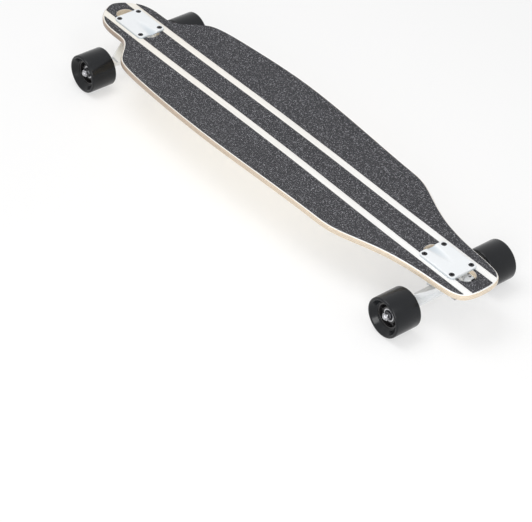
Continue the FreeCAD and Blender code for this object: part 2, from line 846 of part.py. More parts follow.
def make_kingpin(end, place):
    """Kingpin stud with its nut, two bushings and the washers that cup them."""
    frame = place.multiply(KINGPIN_FRAME)
    name = end + "_kingpin"
    stud = cylinder(name + "_stud", "kingpin_radius", "%.6f" % (KINGPIN_TOP + KINGPIN_END))
    pin = round_edges(name, stud, "stud_bevel", is_circle, "Part::Chamfer")
    pin.Placement = frame.multiply(Placement(Vector(0, 0, -KINGPIN_END), Rotation()))

    lock_nut(
        name + "_nut",
        "kingpin_nut_across",
        "kingpin_nut_height",
        "kingpin_radius + press_clearance",
        frame.multiply(Placement(Vector(0, 0, -KINGPIN_NUT), UPSIDE_DOWN)),
    )

    bore = "kingpin_radius + bushing_clearance"
    deep = mm("bushing_recess")
    height = "board_bushing_height + bushing_recess"
    barrel = cylinder(end + "_board_bushing_barrel", "bushing_radius", height)
    barrel = round_edges(end + "_board_bushing_body", barrel, "bushing_edge_round", is_circle)
    hole = cylinder(end + "_board_bushing_hole", bore, height)
    seated = Placement(Vector(0, 0, RING_HALF - deep), Rotation())
    cut(end + "_board_bushing", barrel, hole).Placement = frame.multiply(seated)
    cone = add(
        "Part::Cone",
        end + "_road_bushing_cone",
        Radius1="bushing_tip_radius",
        Radius2="bushing_radius",
        Height="road_bushing_height + bushing_recess",
    )
    cone = round_edges(end + "_road_bushing_body", cone, "bushing_edge_round", is_circle)
    hole = cylinder(end + "_road_bushing_hole", bore, "road_bushing_height + bushing_recess")
    bottom = Placement(Vector(0, 0, -ROAD_WASHER), Rotation())
    cut(end + "_road_bushing", cone, hole).Placement = frame.multiply(bottom)
    board_face = Placement(Vector(0, 0, BOARD_SEAT), UPSIDE_DOWN)
    road_face = Placement(Vector(0, 0, -KINGPIN_NUT), Rotation())
    for node, radius, at in (
        ("board_washer", "bushing_radius", board_face),
        ("road_washer", "bushing_tip_radius", road_face),
    ):
        cupped_washer("%s_%s" % (end, node), radius, bore, frame.multiply(at))


def make_truck_bolts(end, place):
    """Four countersunk bolts down through plate and deck, with a nut under each."""
    bolts, nuts = [], []
    for number, at in enumerate(bolt_places()):
        name = "%s_truck_bolt_%d" % (end, number)
        top = PLATE_TOP - mm("press_clearance")
        shank = cylinder(
            name + "_shank",
            "bolt_radius",
            "bolt_length",
            Placement(at + Vector(0, 0, top - mm("bolt_length")), Rotation()),
        )
        head = add(
            "Part::Cone",
            name + "_head",
            Placement(at + Vector(0, 0, top - mm("bolt_head_depth") + mm("press_clearance")), Rotation()),
            Radius1="bolt_radius",
            Radius2="bolt_head_radius",
            Height="bolt_head_depth - press_clearance",
        )
        socket = hexagon(
            name + "_socket",
            "socket_across",
            "socket_depth + overcut",
            Placement(at + Vector(0, 0, top - mm("socket_depth")), Rotation()),
        )
        bolts.append(cut(name, fuse(name + "_blank", [shank, head]), socket))
        nut = lock_nut(
            name + "_nut",
            "bolt_nut_across",
            "bolt_nut_height",
            "bolt_radius + press_clearance",
            Placement(at + Vector(0, 0, DECK_BOTTOM), UPSIDE_DOWN),
        )
        nuts.append(nut)
    group(end + "_truck_bolts", bolts).Placement = place
    group(end + "_truck_nuts", nuts).Placement = place


def make_axle(end, place):
    """Steel axle with everything that stays still on it: washers, spacers, inner races and nuts."""
    middle = place.multiply(Placement(AXLE, Rotation()))
    bearing_end = mm("bearing_gap") / 2 + mm("bearing_width")
    nut_face = WHEEL_CENTRE + bearing_end + mm("speed_washer_thickness")
    half = nut_face + mm("axle_nut_height") + mm("axle_spare")
    rod = cylinder(end + "_axle_rod", "axle_radius", "%.6f" % (2 * half))
    axle = round_edges(end + "_axle", rod, "stud_bevel", is_circle, "Part::Chamfer")
    axle.Placement = middle.multiply(Placement(Vector(0, -half, 0), ACROSS))

    bore = "axle_radius + press_clearance"
    washers, spacers, races, nuts = [], [], [], []
    for side, sign in (("left", 1), ("right", -1)):
        def at(distance, sign=sign):
            """A place along the axle, facing outwards on this side."""
            return Placement(Vector(0, sign * distance, 0), Rotation(Vector(1, 0, 0), -90 * sign))

        for spot, distance in (("inner", mm("hanger_width") / 2), ("outer", WHEEL_CENTRE + bearing_end)):
            name = "%s_%s_%s_washer" % (end, side, spot)
            washers.append(tube(name, "speed_washer_radius", bore, "speed_washer_thickness", at(distance)))
        for spot, distance in (("inner", -bearing_end), ("outer", mm("bearing_gap") / 2)):
            name = "%s_%s_%s_race" % (end, side, spot)
            races.append(tube(name, "inner_race_radius", bore, "bearing_width", at(WHEEL_CENTRE + distance)))
        name = "%s_%s_spacer" % (end, side)
        spacers.append(
            tube(name, "speed_washer_radius", bore, "bearing_gap", at(WHEEL_CENTRE - mm("bearing_gap") / 2))
        )
        name = "%s_%s_axle_nut" % (end, side)
        nuts.append(lock_nut(name, "axle_nut_across", "axle_nut_height", bore, at(nut_face)))
    group(end + "_speed_washers", washers).Placement = middle
    group(end + "_bearing_spacers", spacers).Placement = middle
    group(end + "_inner_races", races).Placement = middle
    group(end + "_axle_nuts", nuts).Placement = middle


def sketch_plane(body, role):
    """One of a body's own origin planes."""
    return next(feature for feature in body.Origin.OriginFeatures if feature.Role == role)


def end_at(sketch, edge, point):
    """Which end of a sketch's edge lies on a point: 1 for its start, 2 for its end."""
    return min((1, 2), key=lambda side: sketch.getPoint(edge, side).distanceToPoint(point))


def make_wheel(name, place):
    """Cast tyre on a spoked core, with two bearings pressed in; the wheel's axis is its own Z."""
    tyre = doc.addObject("PartDesign::Body", name + "_tyre")
    profile = tyre.newObject("Sketcher::SketchObject", name + "_tyre_profile")
    profile.AttachmentSupport = [(sketch_plane(tyre, "XZ_Plane"), "")]
    profile.MapMode = "FlatFace"
    radius = mm("wheel_diameter") / 2
    half = mm("wheel_width") / 2
    lip = mm("lip_round")
    seat = mm("core_radius") + mm("press_clearance")
    throat = mm("core_width") / 2 + mm("core_recess")
    flat = radius - lip
    corner = lip * (1 - math.sqrt(0.5))
    points = [
        Vector(seat, throat, 0),
        Vector(seat + mm("face_step"), throat + mm("face_rise"), 0),
        Vector(flat - mm("lip_flat") - mm("lip_bevel"), half - mm("lip_drop"), 0),
        Vector(flat - mm("lip_flat"), half, 0),
        Vector(flat, half, 0),
        Vector(radius, half - lip, 0),
    ]
    mirrored = [Vector(point.x, -point.y, 0) for point in reversed(points)]
    ring = points + mirrored
    edges = []
    for index, start in enumerate(ring):
        end = ring[(index + 1) % len(ring)]
        if index == 4:
            edges.append(Part.Arc(start, Vector(radius - corner, half - corner, 0), end))
        elif index == 6:
            edges.append(Part.Arc(start, Vector(radius - corner, corner - half, 0), end))
        else:
            edges.append(Part.LineSegment(start, end))
    profile.addGeometry(edges)
    for index, start in enumerate(ring):
        before = (index - 1) % len(ring)
        joint = ("Coincident", before, end_at(profile, before, start), index, end_at(profile, index, start))
        profile.addConstraint(Sketcher.Constraint(*joint))
    spin = tyre.newObject("PartDesign::Revolution", name + "_tyre_spin")
    spin.Profile = profile
    spin.ReferenceAxis = (profile, ["V_Axis"])
    spin.Angle = 360
    tyre.Placement = place

    rim = tube(name + "_core_rim", "core_radius", "core_radius - core_rim", "core_width")
    rim.Placement = Placement(Vector(0, 0, -mm("core_width") / 2), Rotation())
    hub_height = "bearing_gap + bearing_width * 2"
    hub = cylinder(name + "_core_hub", "bearing_radius + hub_wall", hub_height)
    hub.Placement = Placement(Vector(0, 0, -mm("bearing_gap") / 2 - mm("bearing_width")), Rotation())
    spokes = [
        add(
            "Part::Box",
            "%s_core_spoke_%d" % (name, number),
            Placement(Vector(), Rotation(Vector(0, 0, 1), 360 * number / SPOKES)).multiply(
                Placement(Vector(0, -mm("spoke_width") / 2, -mm("spoke_depth") / 2), Rotation())
            ),
            Length="core_radius - core_rim / 2",
            Width="spoke_width",
            Height="spoke_depth",
        )
        for number in range(SPOKES)
    ]
    shoulder = cylinder(name + "_core_shoulder", "outer_race_bore", "wheel_width")
    shoulder.Placement = Placement(Vector(0, 0, -mm("wheel_width") / 2), Rotation())
    seats = []
    for side, low in (
        ("inner", -mm("bearing_gap") / 2 - mm("wheel_width")),
        ("outer", mm("bearing_gap") / 2),
    ):
        room = cylinder("%s_core_%s_seat" % (name, side), "bearing_radius + press_clearance", "wheel_width")
        room.Placement = Placement(Vector(0, 0, low), Rotation())
        seats.append(room)
    core = cut(
        name + "_core",
        fuse(name + "_core_casting", [rim, hub] + spokes),
        fuse(name + "_core_tools", [shoulder] + seats),
    )
    core.Placement = place

    races, shields = [], []
    for side, low in (
        ("inner", -mm("bearing_gap") / 2 - mm("bearing_width")),
        ("outer", mm("bearing_gap") / 2),
    ):
        races.append(
            tube(
                "%s_%s_outer_race" % (name, side),
                "bearing_radius",
                "outer_race_bore",
                "bearing_width",
                Placement(Vector(0, 0, low), Rotation()),
            )
        )
        for face, lift in (("road", 0.0), ("spacer", mm("bearing_width") - mm("shield_thickness"))):
            shields.append(
                tube(
                    "%s_%s_%s_shield" % (name, side, face),
                    "outer_race_bore - press_clearance",
                    "inner_race_radius + shield_clearance",
                    "shield_thickness",
                    Placement(Vector(0, 0, low + lift), Rotation()),
                )
            )
    group(name + "_outer_races", races).Placement = place
    group(name + "_bearing_shields", shields).Placement = place


NODES = ["deck", "grip_tape_left", "grip_tape_center", "grip_tape_right"]
make_deck()
make_grip_tape()
TRUCK_NODES = [
    "baseplate", "pivot_cup", "kingpin", "kingpin_nut", "board_bushing", "road_bushing", "board_washer",
    "road_washer", "truck_bolts", "truck_nuts", "hanger", "axle", "speed_washers", "bearing_spacers",
    "inner_races", "axle_nuts",
]
WHEEL_NODES = ["tyre", "core", "outer_races", "bearing_shields"]
for end, truck in TRUCKS.items():
    make_baseplate(end, truck)
    make_pivot_cup(end, truck)
    make_kingpin(end, truck)
    make_truck_bolts(end, truck)
    make_hanger(end, truck)
    make_axle(end, truck)
    NODES.extend("%s_%s" % (end, node) for node in TRUCK_NODES)
    axle_line = Placement(Vector(truck.multVec(AXLE).x, 0, AXLE_HEIGHT), Rotation())
    for side, sign in (("left", 1), ("right", -1)):
        turned = Placement(Vector(0, sign * WHEEL_CENTRE, 0), Rotation(Vector(1, 0, 0), -90 * sign))
        make_wheel("%s_%s" % (end, side), axle_line.multiply(turned))
        NODES.extend("%s_%s_%s" % (end, side, node) for node in WHEEL_NODES)

doc.recompute()
for thing in doc.Objects:
    if "Invalid" in thing.State or "Error" in thing.State:
        raise RuntimeError("%s did not build: %s" % (thing.Name, thing.State))
parts = {node: doc.getObject(node) for node in NODES}
for node, thing in parts.items():
    if thing.Shape.isNull() or not thing.Shape.isValid():
        raise RuntimeError("%s has no valid shape" % node)

os.makedirs("parts", exist_ok=True)
for node, thing in parts.items():
    thing.Label = node
    thing.Shape.exportStep("parts/%s.step" % node)
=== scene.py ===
import json
import math

import bmesh
import bpy
from mathutils import Matrix, Vector

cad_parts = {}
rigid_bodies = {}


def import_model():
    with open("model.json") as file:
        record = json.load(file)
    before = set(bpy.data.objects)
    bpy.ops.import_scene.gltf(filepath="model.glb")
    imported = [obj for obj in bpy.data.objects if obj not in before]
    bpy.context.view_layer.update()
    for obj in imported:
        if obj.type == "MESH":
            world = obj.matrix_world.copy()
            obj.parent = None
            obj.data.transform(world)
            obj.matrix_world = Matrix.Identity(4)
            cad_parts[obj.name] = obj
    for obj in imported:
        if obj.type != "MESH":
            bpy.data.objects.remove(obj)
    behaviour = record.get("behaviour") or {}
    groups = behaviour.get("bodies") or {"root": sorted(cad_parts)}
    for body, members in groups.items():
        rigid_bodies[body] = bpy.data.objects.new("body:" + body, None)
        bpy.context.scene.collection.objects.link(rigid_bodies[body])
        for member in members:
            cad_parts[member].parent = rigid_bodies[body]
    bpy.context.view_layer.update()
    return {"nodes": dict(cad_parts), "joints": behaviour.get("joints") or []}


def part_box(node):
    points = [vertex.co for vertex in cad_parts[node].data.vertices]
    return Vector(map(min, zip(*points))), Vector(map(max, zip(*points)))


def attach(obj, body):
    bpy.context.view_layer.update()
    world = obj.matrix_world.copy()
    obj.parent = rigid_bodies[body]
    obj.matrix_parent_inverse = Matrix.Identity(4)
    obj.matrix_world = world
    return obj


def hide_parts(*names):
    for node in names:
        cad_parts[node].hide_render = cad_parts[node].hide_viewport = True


bl_info = {
    "name": "Longboard",
    "version": (1, 0, 0),
    "blender": (4, 5, 0),
    "location": "View3D > Sidebar > Longboard",
    "description": "Finishes a drop-through longboard built around its packed CAD frame",
    "category": "Object",
}

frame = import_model()
NODES = frame["nodes"]
MM = 0.001
ENDS = ("front", "rear")
SIDES = ("left", "right")
WHEELS = [(end, side) for end in ENDS for side in SIDES]
STEEL_SLOT = "fastener_steel"


def corners_of(node):
    """The lowest and the highest corner of a CAD node's box."""
    return [Vector(corner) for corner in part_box(node)]


def size_of(node):
    """The lengths of a CAD node's box."""
    low, high = corners_of(node)
    return high - low


def middle_of(node):
    """The middle of a CAD node's box."""
    low, high = corners_of(node)
    return (low + high) / 2


def radius_and_half(node):
    """The radius and half the width of a CAD node that turns on an axle."""
    size = size_of(node)
    return size.z / 2, size.y / 2


DECK_LENGTH = size_of("deck").x
PLATE_TOP = corners_of("front_baseplate")[1].z


def length_setting(name, description, default):
    """A length that a user can change."""
    return bpy.props.FloatProperty(name=name, description=description, default=default, unit="LENGTH")


def colour_setting(name, description, default):
    """A colour that a user can change."""
    return bpy.props.FloatVectorProperty(
        name=name, description=description, default=default, subtype="COLOR"
    )


class DeckLooks(bpy.types.PropertyGroup):
    """Sizes and colours of the deck and its grip tape."""

    thickness: length_setting("Thickness", "Thickness of the laminate", 11 * MM)
    top: length_setting("Top", "Height of the deck's top between the trucks' bolts", 91 * MM)
    concave_flat: length_setting("Concave flat", "Half width of the flat middle", 32 * MM)
    concave_radius: length_setting("Concave radius", "Radius of the raised rails", 412 * MM)
    camber_reach: length_setting("Camber reach", "Half length of the bent part", 355 * MM)
    camber_rise: length_setting("Camber rise", "How far the middle stands up", 3.5 * MM)
    plies: bpy.props.IntProperty(name="Plies", description="Layers of veneer", default=8, min=3)
    veneer: colour_setting("Veneer", "Face veneer", (0.92, 0.83, 0.66))
    veneer_warm: colour_setting("Warm veneer", "Face veneer towards the nose", (0.90, 0.77, 0.54))
    stripe: colour_setting("Stripe", "Bare stripes on the top", (0.94, 0.935, 0.92))
    # Cream of the stripes towards the nose: partly warmer wood, partly painted shade
    stripe_warm_shaded: colour_setting("Warm stripe", "Bare stripes towards the nose", (0.90, 0.85, 0.76))
    ply_pale: colour_setting("Pale ply", "Long-grain plies on the edge", (0.93, 0.83, 0.67))
    ply_pink: colour_setting("Pink ply", "Cross-grain plies on the edge", (0.82, 0.67, 0.50))
    # Dark brown of the plies towards the nose and low on the edge: partly warmer wood, partly painted
    # shade
    ply_warm_shaded: colour_setting("Warm ply", "Plies towards the nose", (0.31, 0.21, 0.155))
    glue: colour_setting("Glue", "Glue lines between the plies", (0.22, 0.13, 0.085))
    cutout_side: length_setting("Cut-out side", "Half width that takes in a cut-out", 20 * MM)
    cutout_reach: length_setting("Cut-out reach", "Half length that takes in both cut-outs", 475 * MM)
    ink: colour_setting("Ink", "Printed scallops under the tail", (0.012, 0.011, 0.012))
    scallop: length_setting("Scallop", "Radius of a printed scallop", 50 * MM)
    print_start: length_setting("Print start", "Where the print begins along the deck", 70 * MM)
    print_fade: length_setting("Print fade", "Length over which the print grows bold", 230 * MM)
    grip: colour_setting("Grip", "Grip tape between its grains", (0.021, 0.021, 0.025))
    grain: colour_setting("Grain", "Bright grains of the grip tape", (0.62, 0.62, 0.66))
    grain_size: length_setting("Grain size", "Spacing of the grains", 0.45 * MM)
    clumps: bpy.props.FloatProperty(
        name="Clumps", description="Clumps of bright grains per metre", default=330.0
    )


class TruckLooks(bpy.types.PropertyGroup):
    """Sizes and colours of the trucks."""

    paint: colour_setting("Paint", "Gloss paint of the castings", (0.84, 0.865, 0.885))
    # Bluish grey of painted shade in the plates' troughs and on their sides
    trough: colour_setting("Trough", "Dusty paint in a plate's trough", (0.58, 0.65, 0.70))
    # Depth under a plate's top at which the painted shade begins
    trough_brim: length_setting("Trough brim", "Depth at which dust begins to gather", 0.4 * MM)
    trough_depth: length_setting("Trough depth", "Depth of the trough below its brim", 2.6 * MM)
    plate_proud: length_setting("Plate proud", "How far a plate stands above the deck", 4.3 * MM)
    steel: colour_setting("Steel", "Zinc-plated fasteners", (0.53, 0.53, 0.55))
    # Plated washers drawn lighter than the nuts' steel: the extra lightness is painted light
    washer: colour_setting("Washer", "Bright plated washers", (0.70, 0.70, 0.71))
    axle_steel: colour_setting("Axle steel", "Washers and spacers on the axles", (0.34, 0.34, 0.36))
    black_steel: colour_setting("Black steel", "Truck bolts and pivot cups", (0.045, 0.045, 0.048))
    bushing: colour_setting("Bushing", "Urethane bushings", (0.80, 0.79, 0.76))
    casting_round: length_setting("Casting round", "Grain of the castings' blended corners", 0.7 * MM)
    bolt_head: length_setting("Bolt head", "Diameter of a truck bolt's head", 9.4 * MM)
    bolt_shank: length_setting("Bolt shank", "Diameter of a truck bolt's shank", 4.8 * MM)
    bolt_sink: length_setting("Bolt sink", "Height of a truck bolt's head", 2.87 * MM)
    socket: length_setting("Socket", "Hexagon socket across its flats", 3.2 * MM)
    socket_depth: length_setting("Socket depth", "Depth of the hexagon socket", 1.9 * MM)
    bolt_nut: length_setting("Bolt nut", "Truck nut across its flats", 9.5 * MM)
    kingpin_nut: length_setting("Kingpin nut", "Kingpin nut across its flats", 14.3 * MM)
    kingpin: length_setting("Kingpin", "Diameter of the kingpin", 9.5 * MM)
    axle_nut: length_setting("Axle nut", "Axle nut across its flats", 12.7 * MM)
    axle: length_setting("Axle", "Diameter of the axle", 8 * MM)
    nut_height: length_setting("Nut height", "Height of the kingpin's and axles' nuts", 8 * MM)
    nut_collar: length_setting("Nut collar", "Height of a lock nut's collar", 1.6 * MM)
    collar_inset: length_setting("Collar inset", "How far a collar lies inside the flats", 0.9 * MM)
    nut_fit: length_setting("Nut fit", "Clearance between a nut and its thread", 0.03 * MM)
    thread_pitch: length_setting("Thread pitch", "Pitch of the bolts' threads", 0.8 * MM)


class WheelLooks(bpy.types.PropertyGroup):
    """Sizes and colours of the wheels."""

    # Near-black urethane with a faint blue tint that is a painted reflection
    urethane: colour_setting("Urethane", "Cast urethane of the tyres", (0.006, 0.007, 0.009))
    core: colour_setting("Core", "Moulded core", (0.018, 0.017, 0.018))
    shield: colour_setting("Shield", "Blackened shields of the bearings", (0.05, 0.05, 0.055))
    lip: length_setting("Lip", "Radius of the running lip", 2.8 * MM)
    core_rim: length_setting("Core rim", "Wall of the core's rim", 2.6 * MM)
    hub_wall: length_setting("Hub wall", "Wall round the bearings", 3.2 * MM)
    hub_bore: length_setting("Hub bore", "Radius between the bearings", 9.2 * MM)
    bearing_gap: length_setting("Bearing gap", "Room between the two bearings", 10 * MM)
    press_fit: length_setting("Press fit", "Clearance of a pressed seat", 0.03 * MM)
    spokes: bpy.props.IntProperty(name="Spokes", description="Spokes of the core", default=6, min=3)
    spoke_width: length_setting("Spoke width", "Width of a spoke", 5 * MM)
    spoke_depth: length_setting("Spoke depth", "Depth of a spoke along the axle", 21 * MM)
    segments: bpy.props.IntProperty(name="Segments", description="Steps round a wheel", default=96, min=24)


class StageLooks(bpy.types.PropertyGroup):
    """Light, floor and camera."""

    floor: colour_setting("Floor", "Pale studio floor", (0.97, 0.97, 0.97))
    floor_white: bpy.props.FloatProperty(
        name="Floor white",
        description="How far the floor's shadow is lifted to white",
        default=0.55,
        subtype="FACTOR",
    )
    shadow_reach: length_setting("Shadow reach", "How far out the floor shows shadows in full", 0.7)
    floor_fade: length_setting("Floor fade", "Width of the ring in which the floor turns white", 1.2)
    sky: bpy.props.FloatProperty(name="Sky", description="Strength of the light all round", default=0.48)
    lamp: bpy.props.FloatProperty(
        name="Lamp", description="Power of the main lamp", default=19.5, subtype="POWER"
    )
    lens: bpy.props.FloatProperty(name="Lens", description="Focal length", default=147.2, unit="CAMERA")


# Sockets of a Mix node that mixes colours
MIX_FIRST = 6
MIX_SECOND = 7
MIX_RESULT = 2
NOISE_MEAN = 0.5


def label_of(word):
    """A socket's label, from the word that stands for it in a call."""
    return word.replace("_", " ").title()


class Formula:
    """Builds nodes in a tree from calls that read like a formula."""

    def __init__(self, tree):
        self.tree = tree

    def link(self, value, socket):
        """Links a socket to another, or sets its own value."""
        if isinstance(value, bpy.types.NodeSocket):
            self.tree.links.new(value, socket)
        else:
            socket.default_value = value

    def fill(self, node, **inputs):
        """Links or sets a node's inputs by their labels."""
        for word, value in inputs.items():
            self.link(value, node.inputs[label_of(word)])
        return node

    def node(self, kind, **inputs):
        """A new node with some of its inputs filled."""
        return self.fill(self.tree.nodes.new(kind), **inputs)

    def group(self, inner, **inputs):
        """What a shader group puts out when it is placed in this tree."""
        node = self.node("ShaderNodeGroup")
        node.node_tree = inner
        return self.fill(node, **inputs).outputs

    def __call__(self, operation, *values, clamp=False):
        """The result of a Math node."""
        node = self.node("ShaderNodeMath")
        node.operation = operation
        node.use_clamp = clamp
        for socket, value in zip(node.inputs, values):
            self.link(value, socket)
        return node.outputs[0]

    def add(self, a, b):
        return self("ADD", a, b)

    def minus(self, a, b):
        return self("SUBTRACT", a, b)

    def times(self, a, b):
        return self("MULTIPLY", a, b)

    def over(self, a, b):
        return self("DIVIDE", a, b)

    def squared(self, a):
        return self.times(a, a)

    def distance(self, a, b):
        """How far off a point is that lies a along one axis and b along the other."""
        return self("SQRT", self.add(self.squared(a), self.squared(b)))

    def pick(self, test, yes, no):
        """The first value where the test is 1, the second where it is 0, and a mix in between."""
        return self.add(no, self.times(test, self.minus(yes, no)))

    def split(self, vector):
        return self.node("ShaderNodeSeparateXYZ", vector=vector).outputs

    def blend(self, factor, first, second):
        """A mix of two colours."""
        node = self.node("ShaderNodeMix")
        node.data_type = "RGBA"
        self.link(factor, node.inputs[0])
        for index, colour in ((MIX_FIRST, first), (MIX_SECOND, second)):
            linked = isinstance(colour, bpy.types.NodeSocket)
            self.link(colour if linked else (*colour, 1), node.inputs[index])
        return node.outputs[MIX_RESULT]

    def shaded(self, colour, shade):
        """A colour made lighter or darker by a shade round 1."""
        node = self.node("ShaderNodeVectorMath")
        node.operation = "SCALE"
        self.link(colour, node.inputs[0])
        return self.fill(node, scale=shade).outputs[0]

    def stretched(self, place, scale):
        """Coordinates with a scale of their own on each axis."""
        return self.node("ShaderNodeMapping", vector=place, scale=scale).outputs[0]

    def noise(self, place, scale, detail=2.0):
        return self.node("ShaderNodeTexNoise", vector=place, scale=scale, detail=detail).outputs[0]


def shader_group(name, numbers, results):
    """An empty shader group that takes a place and numbers; returns its formula, inputs and outputs."""
    tree = bpy.data.node_groups.new(name, "ShaderNodeTree")
    tree.interface.new_socket("Place", in_out="INPUT", socket_type="NodeSocketVector")
    for way, labels in (("INPUT", numbers), ("OUTPUT", results)):
        for label in labels:
            tree.interface.new_socket(label, in_out=way, socket_type="NodeSocketFloat")
    make = Formula(tree)
    return make, make.node("NodeGroupInput").outputs, make.node("NodeGroupOutput").inputs


def laminate_depth_group(looks):
    """How deep a point lies under the deck's pressed top face, from 0 at the top to 1 underneath."""
    make, given, result = shader_group("Laminate depth", (), ("Depth",))
    x, y, z = make.split(given["Place"])
    bent = make("SUBTRACT", 1.0, make.over(make("ABSOLUTE", x), looks.camber_reach), clamp=True)
    # The camber is two parabolas that meet halfway
    halfway = 0.5
    rising = make.over(make.squared(bent), halfway)
    crowning = make.minus(1.0, make.over(make.squared(make.minus(1.0, bent)), halfway))
    bend = make.pick(make("GREATER_THAN", bent, halfway), crowning, rising)
    camber = make.times(looks.camber_rise, bend)
    outward = make("MAXIMUM", make.minus(make("ABSOLUTE", y), looks.concave_flat), 0.0)
    chord = make("SQRT", make.minus(looks.concave_radius**2, make.squared(outward)))
    concave = make.minus(looks.concave_radius, chord)
    surface = make.add(looks.top, make.add(camber, concave))
    make.link(make.over(make.minus(surface, z), looks.thickness), result["Depth"])
    return make.tree


def grain_group():
    """Fine wood grain along the board, as a shade round 1."""
    make, given, result = shader_group("Maple grain", ("Contrast",), ("Shade",))
    line_stretch = (2.0, 160.0, 160.0)
    cloud_stretch = (1.5, 9.0, 9.0)
    line_share = 0.7
    lines = make.noise(make.stretched(given["Place"], line_stretch), scale=2.2, detail=4.0)
    clouds = make.noise(make.stretched(given["Place"], cloud_stretch), scale=2.0)
    centred = make.minus(make.pick(line_share, lines, clouds), NOISE_MEAN)
    make.link(make.add(1.0, make.times(centred, given["Contrast"])), result["Shade"])
    return make.tree


def scallop_group(looks):
    """Overlapping scallops of concentric bands that grow bolder towards the tail, as an ink mask."""
    make, given, result = shader_group("Scallop print", (), ("Ink",))
    x, y, _ = make.split(given["Place"])
    radius = looks.scallop
    rows_to_a_radius = 2.0
    lane_radii = 2.0
    bands = 3.0
    slant = 0.35
    boldest = 0.52
    row = make("FLOOR", make.over(make.times(x, rows_to_a_radius), radius))

    def reach(step):
        """Distance to the nearest scallop's centre in a row, in scallop radii."""
        number = make.add(row, step)
        odd = make("MODULO", make("ABSOLUTE", number), 2.0)
        along = make.minus(make.over(x, radius), make.over(number, rows_to_a_radius))
        lane = make.over(make.minus(y, make.times(odd, radius)), lane_radii * radius)
        across = make.times(make.minus(lane, make("ROUND", lane)), lane_radii)
        return make.distance(along, across)

    below, level, above = reach(-1.0), reach(0.0), reach(1.0)
    behind = make.pick(make("LESS_THAN", level, 1.0), level, above)
    distance = make.pick(make("LESS_THAN", below, 1.0), below, behind)
    slanted = make.add(x, make.times(y, slant))
    bold = make("DIVIDE", make.minus(slanted, looks.print_start), looks.print_fade, clamp=True)
    band = make("FRACT", make.times(distance, bands))
    edge = make.minus(1.0, make.times(bold, boldest))
    make.link(make("GREATER_THAN", band, edge), result["Ink"])
    return make.tree


def drift_group():
    """Drift of a surface from place to place: its shade round 1 and its roughness between two values."""
    make, given, result = shader_group(
        "Surface drift", ("Spots", "Contrast", "Smoothest", "Roughest"), ("Shade", "Roughness")
    )
    finer = 7.0
    broad_share = 0.6
    broad = make.noise(given["Place"], given["Spots"], detail=3.0)
    fine = make.noise(given["Place"], make.times(given["Spots"], finer))
    centred = make.minus(make.pick(broad_share, broad, fine), NOISE_MEAN)
    make.link(make.add(1.0, make.times(centred, given["Contrast"])), result["Shade"])
    make.link(make.pick(broad, given["Roughest"], given["Smoothest"]), result["Roughness"])
    return make.tree


def new_material(name, roughness=0.5, colour=None, metallic=0.0, coat=0.0):
    """A Principled material with its constants; returns it, its formula, shader and coordinates."""
    material = bpy.data.materials.new(name)
    material.use_nodes = True
    make = Formula(material.node_tree)
    shader = material.node_tree.nodes["Principled BSDF"]
    make.fill(shader, roughness=roughness, metallic=metallic, coat_weight=coat)
    if colour is not None:
        make.fill(shader, base_color=(*colour, 1))
        material.diffuse_color = (*colour, 1)
    place = make.node("ShaderNodeTexCoord").outputs["Object"]
    return material, make, shader, place


def mixed_shader(make, factor, first, second):
    """Two shaders mixed by a factor."""
    node = make.node("ShaderNodeMixShader", fac=factor)
    make.link(first.outputs[0], node.inputs[1])
    make.link(second.outputs[0], node.inputs[2])
    return node


def seen_directly(make):
    """1 where the camera sees a surface itself, mirrored in gloss or through something clear."""
    path = make.node("ShaderNodeLightPath").outputs
    bounced = make("MAXIMUM", path["Is Glossy Ray"], path["Is Transmission Ray"])
    return make("MAXIMUM", path["Is Camera Ray"], bounced)


def drifting(make, shader, place, colour, **drift):
    """Lets the colour and the roughness of a material drift a little over the surface."""
    group = bpy.data.node_groups.get("Surface drift") or drift_group()
    shade, roughness = make.group(group, place=place, **drift)
    make.fill(shader, base_color=make.shaded(colour, shade), roughness=roughness)


def bumps(make, shader, height, depth, strength):
    """A bump of a height field with a real depth."""
    bump = make.node("ShaderNodeBump", height=height, distance=depth, strength=strength)
    make.fill(shader, normal=bump.outputs[0])


